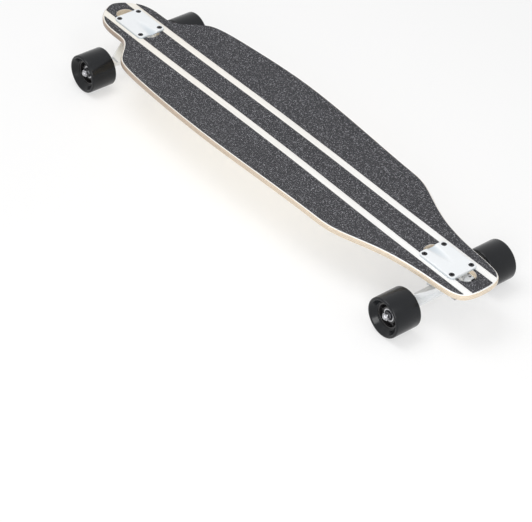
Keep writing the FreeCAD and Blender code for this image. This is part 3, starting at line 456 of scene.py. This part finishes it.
def maple_material(looks):
    """Face veneers, the plies on the edge and the print, all told apart by depth in the laminate; the
    plies darken towards the nose and at the bottom of the edge, partly as painted shade.
    """
    material, make, shader, place = new_material("Maple laminate", roughness=0.38, coat=0.25)
    # Painted shade: towards the nose and low on the edge the plies turn dark brown, which stands for shade
    # as well as warmer wood
    warm_and_shade_start = 0.35
    nose_warmth_and_shade = 0.95
    lower_ply_shade = 0.15
    glue_share = 0.12
    glue_strength = 0.8
    print_depth = 0.95
    face = 1.0 / looks.plies
    half_face = face / 2
    depth = make.group(laminate_depth_group(looks), place=place)[0]
    shade = make.group(grain_group(), place=place, contrast=0.35)[0]
    ink = make.group(scallop_group(looks), place=place)[0]
    x, y, _ = make.split(place)
    towards_nose = make("SUBTRACT", warm_and_shade_start, make.over(x, DECK_LENGTH), clamp=True)
    under = make.blend(towards_nose, looks.veneer, looks.veneer_warm)
    inked = make.blend(ink, under, looks.ink)
    # The stripes turn cream towards the nose, partly as painted shade
    stripe = make.blend(towards_nose, looks.stripe, looks.stripe_warm_shaded)
    # The painted shade and warmth of the plies leave out the walls of the cut-outs, which stay pale all
    # along the board
    near_middle = make("LESS_THAN", make("ABSOLUTE", y), looks.cutout_side)
    short_of_tip = make("LESS_THAN", make("ABSOLUTE", x), looks.cutout_reach)
    outside = make.minus(1.0, make.times(near_middle, short_of_tip))
    # Painted shade: the plies darken towards the nose, and towards the bottom of the rounded edge, which
    # faces down
    warmest_and_darkest = make.times(towards_nose, nose_warmth_and_shade)
    warmth_and_shade = make("ADD", warmest_and_darkest, make.times(depth, lower_ply_shade), clamp=True)
    ply = make.times(depth, float(looks.plies))
    odd = make("GREATER_THAN", make("MODULO", ply, 2.0), 1.0)
    pale = make.blend(odd, looks.ply_pale, looks.ply_pink)
    plies = make.blend(make.times(warmth_and_shade, outside), pale, looks.ply_warm_shaded)
    glue = make("LESS_THAN", make("FRACT", ply), glue_share)
    edge = make.blend(make.times(glue, glue_strength), plies, looks.glue)
    lower = make.blend(make("GREATER_THAN", depth, 1.0 - face), edge, under)
    printed = make.blend(make("GREATER_THAN", depth, print_depth), lower, inked)
    wood = make.blend(make("LESS_THAN", depth, half_face), printed, stripe)
    make.fill(shader, base_color=make.shaded(wood, shade))
    return material


def grip_material(looks):
    """Charcoal grit with bright grains."""
    material, make, shader, place = new_material("Grip tape grit", roughness=0.85)
    rarest = 1.36
    clumping = 0.8
    brightest = 0.9
    dull_share = 0.10
    dull_power = 4.0
    cells = make.node("ShaderNodeTexVoronoi", vector=place, scale=1.0 / looks.grain_size)
    chance = make.split(cells.outputs["Color"])[0]
    clumps = make.noise(place, looks.clumps)
    few = make.minus(rarest, make.times(clumps, clumping))
    bright = make("GREATER_THAN", chance, few)
    dull = make.times(make("POWER", chance, dull_power), dull_share)
    lit = make("MAXIMUM", make.times(bright, brightest), dull)
    make.fill(shader, base_color=make.blend(lit, looks.grip, looks.grain))
    bumps(make, shader, cells.outputs["Distance"], depth=0.2 * MM, strength=0.6)
    return material


def paint_material(looks):
    """Gloss paint over a casting, with a faint orange peel and painted shade in the plates' troughs and on
    their sides.
    """
    material, make, shader, place = new_material("White truck paint", colour=looks.paint, coat=0.6)
    height = make.split(place)[2]
    # Painted shade: from just under a plate's top the paint greys down through the trough and the plate's
    # sides
    below_brim = make.minus(PLATE_TOP - looks.trough_brim, height)
    sunk = make("DIVIDE", below_brim, looks.trough_depth, clamp=True)
    trough = make.times(sunk, make("GREATER_THAN", height, PLATE_TOP - looks.plate_proud))
    colour = make.blend(trough, looks.paint, looks.trough)
    drifting(make, shader, place, colour, spots=40.0, contrast=0.06, smoothest=0.26, roughest=0.40)
    bumps(make, shader, make.noise(place, scale=700.0), depth=0.06 * MM, strength=0.35)
    return material


def steel_material(name, colour, smoothest, roughest):
    """Plated steel with cloudy plating and fine tool marks."""
    material, make, shader, place = new_material(name, colour=colour, metallic=1.0)
    drifting(
        make, shader, place, colour, spots=220.0, contrast=0.25, smoothest=smoothest, roughest=roughest
    )
    bumps(make, shader, make.noise(place, scale=2500.0), depth=0.02 * MM, strength=0.25)
    return material


def urethane_material(name, colour, smoothest, roughest, shine=0.5):
    """Cast or moulded plastic with a drifting sheen and the faint ripple of its mould."""
    material, make, shader, place = new_material(name, colour=colour)
    shader.inputs["Specular IOR Level"].default_value = shine
    drifting(
        make, shader, place, colour, spots=120.0, contrast=0.2, smoothest=smoothest, roughest=roughest
    )
    bumps(make, shader, make.noise(place, scale=260.0), depth=0.05 * MM, strength=0.3)
    return material


def finish_mesh(mesh, material):
    """Gives a mesh its finish."""
    mesh.materials.clear()
    mesh.materials.append(material)


def dress(node, material):
    """Gives a CAD node its finish."""
    finish_mesh(NODES[node].data, material)


def new_object(name, data):
    """An object in the scene."""
    thing = bpy.data.objects.new(name, data)
    bpy.context.scene.collection.objects.link(thing)
    return thing


def finish_piece(name, mesh, node, body, material):
    """Puts a mesh in the scene as the piece that takes a CAD node's place and rides on a body."""
    mesh.name = name
    finish_mesh(mesh, material)
    piece = new_object(name, mesh)
    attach(piece, body)
    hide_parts(node)


def mesh_of(shape, name):
    """A mesh of what was built, which is then let go."""
    mesh = bpy.data.meshes.new(name)
    shape.to_mesh(mesh)
    shape.free()
    return mesh


def sharpen(mesh, degrees):
    """Smooth faces, with hard edges where the surface turns by more than some degrees."""
    shape = bmesh.new()
    shape.from_mesh(mesh)
    for face in shape.faces:
        face.smooth = True
    for edge in shape.edges:
        edge.smooth = len(edge.link_faces) == 2 and edge.calc_face_angle() < math.radians(degrees)
    shape.to_mesh(mesh)
    shape.free()


def merged_copy(node):
    """A copy of a CAD node's mesh with its triangles joined up."""
    shape = bmesh.new()
    shape.from_mesh(NODES[node].data)
    bmesh.ops.remove_doubles(shape, verts=shape.verts, dist=0.002 * MM)
    return mesh_of(shape, node + "_copy")


def evaluated_mesh(piece):
    """The plain mesh of an object with its modifiers applied; the object itself is removed."""
    graph = bpy.context.evaluated_depsgraph_get()
    mesh = bpy.data.meshes.new_from_object(piece.evaluated_get(graph), depsgraph=graph)
    bpy.data.objects.remove(piece)
    return mesh


def cast_copy(node, grain):
    """A copy of a CAD node whose inner and outer corners are blended as in a casting."""
    piece = new_object(node + "_cast", merged_copy(node))
    remesh = piece.modifiers.new("Skin", "REMESH")
    remesh.mode = "VOXEL"
    remesh.voxel_size = grain
    smooth = piece.modifiers.new("Blend", "SMOOTH")
    smooth.factor = 0.5
    smooth.iterations = 10
    thin = piece.modifiers.new("Thin", "DECIMATE")
    thin.ratio = 0.4
    mesh = evaluated_mesh(piece)
    for polygon in mesh.polygons:
        polygon.use_smooth = True
    return mesh


def hexagon(across):
    """The radius of a hexagon at any angle."""
    sector = math.pi / 3

    def radius(angle):
        return across / 2 / math.cos(angle % sector - sector / 2)

    return radius


def turned(levels, segments, closed=False, crease=35):
    """A mesh made of rings: each level has a radius, or a radius at any angle, and a height on Z."""
    shape = bmesh.new()
    rings = []
    for radius, height in levels:
        ring = []
        for step in range(segments):
            angle = 2 * math.pi * step / segments
            reach = radius(angle) if callable(radius) else radius
            ring.append(shape.verts.new((reach * math.cos(angle), reach * math.sin(angle), height)))
        rings.append(ring)
    spans = list(zip(rings, rings[1:]))
    if closed:
        spans.append((rings[-1], rings[0]))
    for low, high in spans:
        for step in range(segments):
            after = (step + 1) % segments
            shape.faces.new((low[step], low[after], high[after], high[step]))
    bmesh.ops.remove_doubles(shape, verts=shape.verts, dist=0.001 * MM)
    bmesh.ops.recalc_face_normals(shape, faces=shape.faces)
    mesh = mesh_of(shape, "turned")
    sharpen(mesh, crease)
    return mesh


def rounded(corners, steps=6):
    """A profile with each corner that has a radius turned into an arc."""
    points = []
    for index, (x, y, radius) in enumerate(corners):
        here = Vector((x, y))
        before = Vector(corners[index - 1][:2]) - here
        after = Vector(corners[(index + 1) % len(corners)][:2]) - here
        if not radius:
            points.append((x, y))
            continue
        half = before.angle(after) / 2
        cut = radius / math.tan(half)
        inwards = (before.normalized() + after.normalized()).normalized()
        centre = here + inwards * (radius / math.sin(half))
        start = here + before.normalized() * cut - centre
        end = here + after.normalized() * cut - centre
        for step in range(steps + 1):
            way = start.normalized().slerp(end.normalized(), step / steps)
            points.append(tuple(centre + way * radius))
    return points


def both_faces(corners):
    """A section whose upper half is repeated below."""
    return corners + [(radius, -height, bend) for radius, height, bend in reversed(corners)]


def lock_nut(looks, across, height, thread):
    """A hexagon nut with bevelled corners and a round collar; it sits on Z = 0."""
    body = height - looks.nut_collar
    bevel = across * 0.07
    bore = thread / 2 + looks.nut_fit
    collar = across / 2 - looks.collar_inset
    crown = looks.nut_collar * 0.4
    flats = hexagon(across)

    def bevelled(angle):
        return min(flats(angle), across / 2)

    levels = [
        (bore, 0.0),
        (bevelled, 0.0),
        (flats, bevel),
        (flats, body - bevel),
        (bevelled, body),
        (collar, body),
        (collar, height - crown),
        (collar - crown, height),
        (bore, height),
    ]
    return turned(levels, segments=48, closed=True, crease=12)


def soft_block(sizes, bevel):
    """A block round the origin with rounded edges."""
    shape = bmesh.new()
    bmesh.ops.create_cube(shape, size=1.0, matrix=Matrix.Diagonal((*sizes, 1)))
    bmesh.ops.bevel(shape, geom=shape.edges[:], offset=bevel, segments=3, profile=0.5, affect="EDGES")
    mesh = mesh_of(shape, "soft_block")
    sharpen(mesh, degrees=50)
    return mesh


def threaded_end(radius, low, high, pitch):
    """Levels of a thread's ridges between two heights."""
    root = radius * 0.88
    levels = []
    turns = max(1, int((high - low) / pitch))
    for turn in range(turns):
        base = low + (high - low) * turn / turns
        levels.append((root, base))
        levels.append((radius, base + (high - low) / turns / 2))
    return levels


def threaded_rod(radius, length, low_thread, high_thread, pitch):
    """A bevelled rod round the origin along Z, threaded over a length at each end."""
    half = length / 2
    bevel = radius * 0.2
    levels = [(0.0, -half), (radius - bevel, -half)]
    if low_thread:
        levels += threaded_end(radius, bevel - half, low_thread - half, pitch)
    else:
        levels += [(radius, bevel - half)]
    levels += [(radius, low_thread + bevel - half), (radius, half - high_thread)]
    levels += threaded_end(radius, half - high_thread, half - bevel, pitch)
    levels += [(radius - bevel, half), (0.0, half)]
    return turned(levels, segments=40)


def moved(mesh, matrix):
    """A mesh put in its place by a matrix."""
    mesh.transform(matrix)
    return mesh


def on_axle(place, sign=1):
    """The matrix that lays what was made on Z along an axle, at a place."""
    return Matrix.Translation(place) @ Matrix.Rotation(sign * math.pi / 2, 4, "X")


def joined(meshes):
    """Several meshes as one."""
    shape = bmesh.new()
    for mesh in meshes:
        shape.from_mesh(mesh)
    return mesh_of(shape, "joined")


def pattern_tree(name, points, inputs):
    """A Geometry Nodes tree that puts a template on points, turned to face outwards if asked."""
    tree = bpy.data.node_groups.new(name, "GeometryNodeTree")
    tree.interface.new_socket("Geometry", in_out="OUTPUT", socket_type="NodeSocketGeometry")
    sockets = {"Template": "Object", "Material": "Material", **inputs}
    for label, kind in sockets.items():
        tree.interface.new_socket(label, in_out="INPUT", socket_type="NodeSocket" + kind)
    make = Formula(tree)
    given = make.node("NodeGroupInput").outputs
    info = make.node("GeometryNodeObjectInfo", object=given["Template"])
    place = make.node("GeometryNodeInstanceOnPoints", instance=info.outputs["Geometry"])
    make.fill(place, **points(make, given))
    real = make.node("GeometryNodeRealizeInstances", geometry=place.outputs[0])
    paint = make.node("GeometryNodeSetMaterial", geometry=real.outputs[0], material=given["Material"])
    make.node("NodeGroupOutput", geometry=paint.outputs[0])
    return tree


def patterned(tree, template, material, **inputs):
    """The mesh that a pattern tree makes with a template mesh and its inputs."""
    holder = new_object(tree.name, bpy.data.meshes.new(tree.name))
    seed = new_object(tree.name + "_template", template)
    modifier = holder.modifiers.new("Pattern", "NODES")
    modifier.node_group = tree
    values = {"Template": seed, "Material": material}
    values.update({label_of(word): value for word, value in inputs.items()})
    for item in tree.interface.items_tree:
        if item.in_out == "INPUT":
            modifier[item.identifier] = values[item.name]
    mesh = evaluated_mesh(holder)
    bpy.data.objects.remove(seed)
    return mesh


def rectangle_points(make, given):
    """Four points in a rectangle, moved to a place."""
    grid = make.node("GeometryNodeMeshGrid", vertices_x=2, vertices_y=2)
    make.fill(grid, size_x=given["Length"], size_y=given["Width"])
    mesh = grid.outputs["Mesh"]
    shift = make.node("GeometryNodeSetPosition", geometry=mesh, offset=given["Middle"])
    return {"points": shift.outputs[0]}


def circle_points(make, given):
    """Points round a wheel's axis, each turned outwards."""
    circle = make.node("GeometryNodeMeshCircle", vertices=given["Count"], radius=given["Radius"])
    outwards = make.node("GeometryNodeInputPosition").outputs[0]
    turn = make.node("FunctionNodeAlignRotationToVector", vector=outwards)
    turn.axis = "X"
    return {"points": circle.outputs["Mesh"], "rotation": turn.outputs[0]}


class LONGBOARD_OT_deck(bpy.types.Operator):
    """Laminated deck with its print, and grip tape on top"""

    bl_idname = "longboard.deck"
    bl_label = "Deck and grip tape"

    def execute(self, context):
        looks = context.scene.longboard_deck
        mesh = merged_copy("deck")
        sharpen(mesh, degrees=30)
        finish_piece("maple_deck", mesh, "deck", "deck", maple_material(looks))
        grip = grip_material(looks)
        for panel in ("left", "center", "right"):
            dress("grip_tape_" + panel, grip)
        return {"FINISHED"}


class LONGBOARD_OT_trucks(bpy.types.Operator):
    """Painted castings, washers, spacers, inner races and pivot cups of both trucks"""

    bl_idname = "longboard.trucks"
    bl_label = "Trucks"

    def execute(self, context):
        looks = context.scene.longboard_truck
        paint = paint_material(looks)
        # Painted light: the board and road washers are drawn lighter than the nuts' steel
        plain = steel_material("Plain washer steel", looks.washer, smoothest=0.3, roughest=0.5)
        dull = steel_material("Dull axle steel", looks.axle_steel, smoothest=0.3, roughest=0.5)
        cup = urethane_material("Moulded cup", looks.black_steel, smoothest=0.5, roughest=0.6)
        for end in ENDS:
            for piece, body in (("baseplate", "deck"), ("hanger", end + "_hanger")):
                node = f"{end}_{piece}"
                mesh = cast_copy(node, looks.casting_round)
                finish_piece(node + "_casting", mesh, node, body, paint)
            dress(end + "_pivot_cup", cup)
            for piece in ("board_washer", "road_washer"):
                dress(f"{end}_{piece}", plain)
            for piece in ("speed_washers", "bearing_spacers", "inner_races"):
                dress(f"{end}_{piece}", dull)
        return {"FINISHED"}


class LONGBOARD_OT_bushings(bpy.types.Operator):
    """Urethane bushings on the kingpins"""

    bl_idname = "longboard.bushings"
    bl_label = "Bushings"

    def execute(self, context):
        looks = context.scene.longboard_truck
        urethane = urethane_material(
            "White bushing urethane", looks.bushing, smoothest=0.35, roughest=0.5
        )
        for end in ENDS:
            for piece in ("board_bushing", "road_bushing"):
                dress(f"{end}_{piece}", urethane)
        return {"FINISHED"}


class LONGBOARD_OT_fasteners(bpy.types.Operator):
    """Truck bolts with their lock nuts, kingpins and axles with theirs"""

    bl_idname = "longboard.fasteners"
    bl_label = "Fasteners"

    def execute(self, context):
        looks = context.scene.longboard_truck
        steel = steel_material("Lock nut steel", looks.steel, smoothest=0.28, roughest=0.42)
        black = steel_material("Black bolt steel", looks.black_steel, smoothest=0.35, roughest=0.5)
        inputs = {"Length": "Float", "Width": "Float", "Middle": "Vector"}
        tree = pattern_tree("Bolt pattern", rectangle_points, inputs)
        for end in ENDS:
            node = end + "_truck_bolts"
            bolt = self.bolt(looks, size_of(node).z)
            head = (looks.bolt_head, looks.bolt_head)
            top = corners_of(node)[1].z
            self.four_of(tree, node, bolt, head, top, black, "bolt_black")
            node = end + "_truck_nuts"
            nut = self.truck_nut(looks, size_of(node).z)
            flats = (looks.bolt_nut * 2 / math.sqrt(3), looks.bolt_nut)
            bottom = corners_of(node)[0].z
            self.four_of(tree, node, nut, flats, bottom, steel, STEEL_SLOT)
            self.kingpin(end, looks, steel)
            self.axle(end, looks, steel)
        return {"FINISHED"}

    @staticmethod
    def four_of(tree, node, template, one, height, material, slot):
        """One template on each of the four places of a truck's bolts, at a height."""
        size = size_of(node)
        middle = middle_of(node)
        middle.z = height
        mesh = patterned(
            tree, template, material, length=size.x - one[0], width=size.y - one[1], middle=middle
        )
        finish_piece(node + "_turned", mesh, node, "deck", material)

    @staticmethod
    def bolt(looks, length):
        """A countersunk bolt with a hexagon socket; its head's top is on Z = 0."""
        radius = looks.bolt_shank / 2
        head = looks.bolt_head / 2
        brim = 0.3 * MM
        point = 0.6 * MM
        thread = 6.0 * MM
        tip = radius * 0.8
        levels = [
            (0.0, -looks.socket_depth),
            (hexagon(looks.socket), -looks.socket_depth),
            (hexagon(looks.socket), 0.0),
            (head - brim, 0.0),
            (head, -brim),
            (radius, -looks.bolt_sink),
        ]
        levels += reversed(threaded_end(radius, point - length, thread - length, looks.thread_pitch))
        levels += [(tip, -length), (0.0, -length)]
        return turned(levels, segments=30)

    @staticmethod
    def truck_nut(looks, height):
        """A lock nut hanging under the deck: its seat is at the top."""
        nut = lock_nut(looks, looks.bolt_nut, height, looks.bolt_shank)
        flip = Matrix.Translation((0, 0, height)) @ Matrix.Rotation(math.pi, 4, "X")
        return moved(nut, flip)

    @staticmethod
    def kingpin(end, looks, steel):
        """The kingpin's stud, threaded at its road end, and its nut."""
        joint = next(joint for joint in frame["joints"] if joint["name"] == end + "_truck_lean")
        down = Vector(joint["axis"]).cross(Vector((0, 1, 0))).normalized()
        if down.z > 0:
            down.negate()
        turn = down.to_track_quat("Z", "Y").to_matrix().to_4x4()
        node = end + "_kingpin_nut"
        seat = middle_of(node) - down * looks.nut_height / 2
        nut = lock_nut(looks, looks.kingpin_nut, looks.nut_height, looks.kingpin)
        nut = moved(nut, Matrix.Translation(seat) @ turn)
        finish_piece(node + "_turned", nut, node, "deck", steel)
        node = end + "_kingpin"
        length = (size_of(node).z - looks.kingpin * math.sqrt(1 - down.z**2)) / abs(down.z)
        thread = looks.nut_height + 4.0 * MM
        stud = threaded_rod(looks.kingpin / 2, length, 0.0, thread, looks.thread_pitch)
        stud = moved(stud, Matrix.Translation(middle_of(node)) @ turn)
        finish_piece(node + "_turned", stud, node, "deck", steel)

    @staticmethod
    def axle(end, looks, steel):
        """The axle, threaded at both ends, and its nuts."""
        body = end + "_hanger"
        node = end + "_axle_nuts"
        low, high = corners_of(node)
        seat = middle_of(node)
        nuts = []
        for sign, outer in ((1, high.y), (-1, low.y)):
            seat.y = outer - sign * looks.nut_height
            nut = lock_nut(looks, looks.axle_nut, looks.nut_height, looks.axle)
            nuts.append(moved(nut, on_axle(seat, -sign)))
        finish_piece(node + "_turned", joined(nuts), node, body, steel)
        node = end + "_axle"
        thread = looks.nut_height + 2.0 * MM
        rod = threaded_rod(looks.axle / 2, size_of(node).y, thread, thread, looks.thread_pitch)
        rod = moved(rod, on_axle(middle_of(node)))
        finish_piece(node + "_turned", rod, node, body, steel)


class LONGBOARD_OT_wheels(bpy.types.Operator):
    """Cast tyres, cores and bearings of the four wheels"""

    bl_idname = "longboard.wheels"
    bl_label = "Wheels"

    def execute(self, context):
        looks = context.scene.longboard_wheel
        steel = context.scene.longboard_truck.steel
        # The tyres' faint blue tint is a painted reflection
        tyre = urethane_material(
            "Black wheel urethane", looks.urethane, smoothest=0.16, roughest=0.28, shine=0.30
        )
        core = urethane_material("Moulded wheel core", looks.core, smoothest=0.2, roughest=0.3)
        race = steel_material("Bearing steel", steel, smoothest=0.12, roughest=0.2)
        shield = steel_material(
            "Blackened bearing shield", looks.shield, smoothest=0.35, roughest=0.5
        )
        spokes = pattern_tree("Spokes", circle_points, {"Count": "Int", "Radius": "Float"})
        for end, side in WHEELS:
            name = f"{end}_{side}"
            body = name + "_wheel"
            turn = on_axle(middle_of(name + "_tyre"))
            node = name + "_tyre"
            mesh = moved(self.tyre_mesh(looks, name), turn)
            finish_piece(node + "_cast", mesh, node, body, tyre)
            node = name + "_core"
            mesh = moved(self.core_mesh(looks, name, spokes, core), turn)
            finish_piece(node + "_moulded", mesh, node, body, core)
            dress(name + "_outer_races", race)
            dress(name + "_bearing_shields", shield)
        return {"FINISHED"}

    @staticmethod
    def core_mesh(looks, name, spokes, material):
        """Rim, hub with its bearing seats and the spokes between them, on Z."""
        radius, half = radius_and_half(name + "_core")
        race, hub_half = radius_and_half(name + "_outer_races")
        seat = race + looks.press_fit
        hub = race + looks.hub_wall
        inside = radius - looks.core_rim
        ledge = looks.bearing_gap / 2
        soft = 0.6 * MM
        rim = [(inside, -half, soft), (radius, -half, 0), (radius, half, 0), (inside, half, soft)]
        upper_hub = [
            (hub, hub_half, soft),
            (seat, hub_half, 0),
            (seat, ledge, 0),
            (looks.hub_bore, ledge, 0),
        ]
        sections = (rim, both_faces(upper_hub))
        rings = [turned(rounded(section), looks.segments, closed=True) for section in sections]
        reach = inside - hub + soft
        spoke = soft_block((reach, looks.spoke_width, looks.spoke_depth), soft)
        middle = (inside + hub) / 2
        return joined(rings + [patterned(spokes, spoke, material, count=looks.spokes, radius=middle)])

    @staticmethod
    def tyre_mesh(looks, name):
        """A tyre turned from its section, on Z."""
        radius, half = radius_and_half(name + "_tyre")
        core_radius, core_half = radius_and_half(name + "_core")
        seat = core_radius + looks.press_fit
        throat = core_half + 0.5 * MM
        throat_round = 0.4 * MM
        mouth = seat + 2.0 * MM
        mouth_round = 1.5 * MM
        step = 1.2 * MM
        shoulder = radius - looks.lip - step
        shoulder_round = 0.5 * MM
        dish = radius - looks.lip - 2.6 * MM
        dish_round = 0.6 * MM
        upper = [
            (seat, throat, throat_round),
            (mouth, throat + step, mouth_round),
            (dish, half - step, dish_round),
            (shoulder, half, shoulder_round),
            (radius, half, looks.lip),
        ]
        return turned(rounded(both_faces(upper)), looks.segments, closed=True)


def resting_tree(wheels):
    """Geometry nodes that move a floor to the lowest point of the wheels, at any lean."""
    tree = bpy.data.node_groups.new("Floor under the wheels", "GeometryNodeTree")
    for way in ("INPUT", "OUTPUT"):
        tree.interface.new_socket("Geometry", in_out=way, socket_type="NodeSocketGeometry")
    make = Formula(tree)
    floor = make.node("NodeGroupInput").outputs["Geometry"]
    gather = make.node("GeometryNodeJoinGeometry")
    for wheel in wheels:
        info = make.node("GeometryNodeObjectInfo", object=wheel)
        info.transform_space = "RELATIVE"
        make.fill(gather, geometry=info.outputs["Geometry"])
    box = make.node("GeometryNodeBoundBox", geometry=gather.outputs["Geometry"])
    lowest = make.split(box.outputs["Min"])["Z"]
    drop = make.node("ShaderNodeCombineXYZ", z=lowest).outputs["Vector"]
    shift = make.node("GeometryNodeTransform", geometry=floor, translation=drop)
    make.node("NodeGroupOutput", geometry=shift.outputs["Geometry"])
    return tree


class LONGBOARD_OT_stage(bpy.types.Operator):
    """Floor, light and camera"""

    bl_idname = "longboard.stage"
    bl_label = "Stage"

    def execute(self, context):
        looks = context.scene.longboard_stage
        self.floor(looks)
        self.light(context, looks)
        self.camera(context, looks)
        context.scene.view_settings.view_transform = "Standard"
        return {"FINISHED"}

    @staticmethod
    def floor(looks):
        """A floor that keeps the shadows near the board and is white further out."""
        mesh = bpy.data.meshes.new("floor")
        size = 12.0
        corners = [(-size, -size, 0), (size, -size, 0), (size, size, 0), (-size, size, 0)]
        mesh.from_pydata(corners, [], [(0, 1, 2, 3)])
        material, make, shader, place = new_material("Studio floor", roughness=0.9, colour=looks.floor)
        shader.inputs["Specular IOR Level"].default_value = 0.0
        glow = make.node("ShaderNodeEmission")
        clear = make.node("ShaderNodeBsdfTransparent")
        x, y, _ = make.split(place)
        beyond = make.minus(make.distance(x, y), looks.shadow_reach)
        fading = make("DIVIDE", beyond, looks.floor_fade, clamp=True)
        share = make.pick(fading, 1.0, looks.floor_white)
        white = mixed_shader(make, make.times(seen_directly(make), share), shader, glow)
        below = make.node("ShaderNodeNewGeometry").outputs["Backfacing"]
        either = mixed_shader(make, below, white, clear)
        make.fill(material.node_tree.nodes["Material Output"], surface=either.outputs[0])
        mesh.materials.append(material)
        floor = new_object("floor", mesh)
        floor.visible_shadow = False
        wheels = [piece for piece in bpy.data.objects if piece.name.endswith("_tyre_cast")]
        floor.modifiers.new("Under the wheels", "NODES").node_group = resting_tree(wheels)

    @staticmethod
    def light(context, looks):
        """A white world that lights softly, and four large lamps."""
        world = bpy.data.worlds.new("Studio")
        context.scene.world = world
        world.use_nodes = True
        make = Formula(world.node_tree)
        strength = make.pick(seen_directly(make), 1.0, looks.sky)
        make.fill(world.node_tree.nodes["Background"], color=(1, 1, 1, 1), strength=strength)
        for name, place, size, share in (
            ("key_lamp", (-0.5, -0.4, 2.2), 1.4, 1.08),
            ("tail_lamp", (1.5, 0.2, 1.9), 1.0, 0.28),
            ("front_lamp", (1.5, -1.3, 0.9), 0.9, 0.7),
            ("under_lamp", (0.4, 0.3, -1.9), 1.6, 0.7),
        ):
            lamp = bpy.data.lights.new(name, "AREA")
            lamp.size = size
            lamp.energy = looks.lamp * share
            holder = new_object(name, lamp)
            holder.visible_camera = False
            holder.location = place
            holder.rotation_mode = "QUATERNION"
            holder.rotation_quaternion = (-Vector(place)).to_track_quat("-Z", "Y")

    @staticmethod
    def camera(context, looks):
        """A camera where the photo was taken."""
        camera = bpy.data.cameras.new("photo_camera")
        camera.sensor_width = 36.0
        camera.lens = looks.lens
        camera.clip_start = 0.05
        camera.clip_end = 50.0
        eye = Vector((2.23665, -1.94087, 2.22117))
        forward = Vector((-0.58936, 0.50558, -0.63012))
        right = Vector((0.62233, 0.78146, 0.04493))
        up = right.cross(forward)
        turn = Matrix((right, up, -forward)).transposed().to_4x4()
        holder = new_object("photo_camera", camera)
        holder.matrix_world = Matrix.Translation(eye) @ turn
        context.scene.camera = holder


class LONGBOARD_PT_panel(bpy.types.Panel):
    """Lists the longboard's operators"""

    bl_idname = "LONGBOARD_PT_panel"
    bl_label = "Longboard"
    bl_space_type = "VIEW_3D"
    bl_region_type = "UI"
    bl_category = "Longboard"

    def draw(self, context):
        for operator in OPERATORS:
            self.layout.operator(operator.bl_idname)


LOOKS = {
    "longboard_deck": DeckLooks,
    "longboard_truck": TruckLooks,
    "longboard_wheel": WheelLooks,
    "longboard_stage": StageLooks,
}
OPERATORS = (
    LONGBOARD_OT_deck,
    LONGBOARD_OT_trucks,
    LONGBOARD_OT_bushings,
    LONGBOARD_OT_fasteners,
    LONGBOARD_OT_wheels,
    LONGBOARD_OT_stage,
)
CLASSES = (*LOOKS.values(), *OPERATORS, LONGBOARD_PT_panel)


def register():
    for one in CLASSES:
        bpy.utils.register_class(one)
    for name, looks in LOOKS.items():
        setattr(bpy.types.Scene, name, bpy.props.PointerProperty(type=looks))


def unregister():
    for name in LOOKS:
        delattr(bpy.types.Scene, name)
    for one in reversed(CLASSES):
        bpy.utils.unregister_class(one)


def main():
    register()
    bpy.ops.longboard.deck()
    bpy.ops.longboard.trucks()
    bpy.ops.longboard.bushings()
    bpy.ops.longboard.fasteners()
    bpy.ops.longboard.wheels()
    bpy.ops.longboard.stage()


if __name__ == "__main__":
    main()
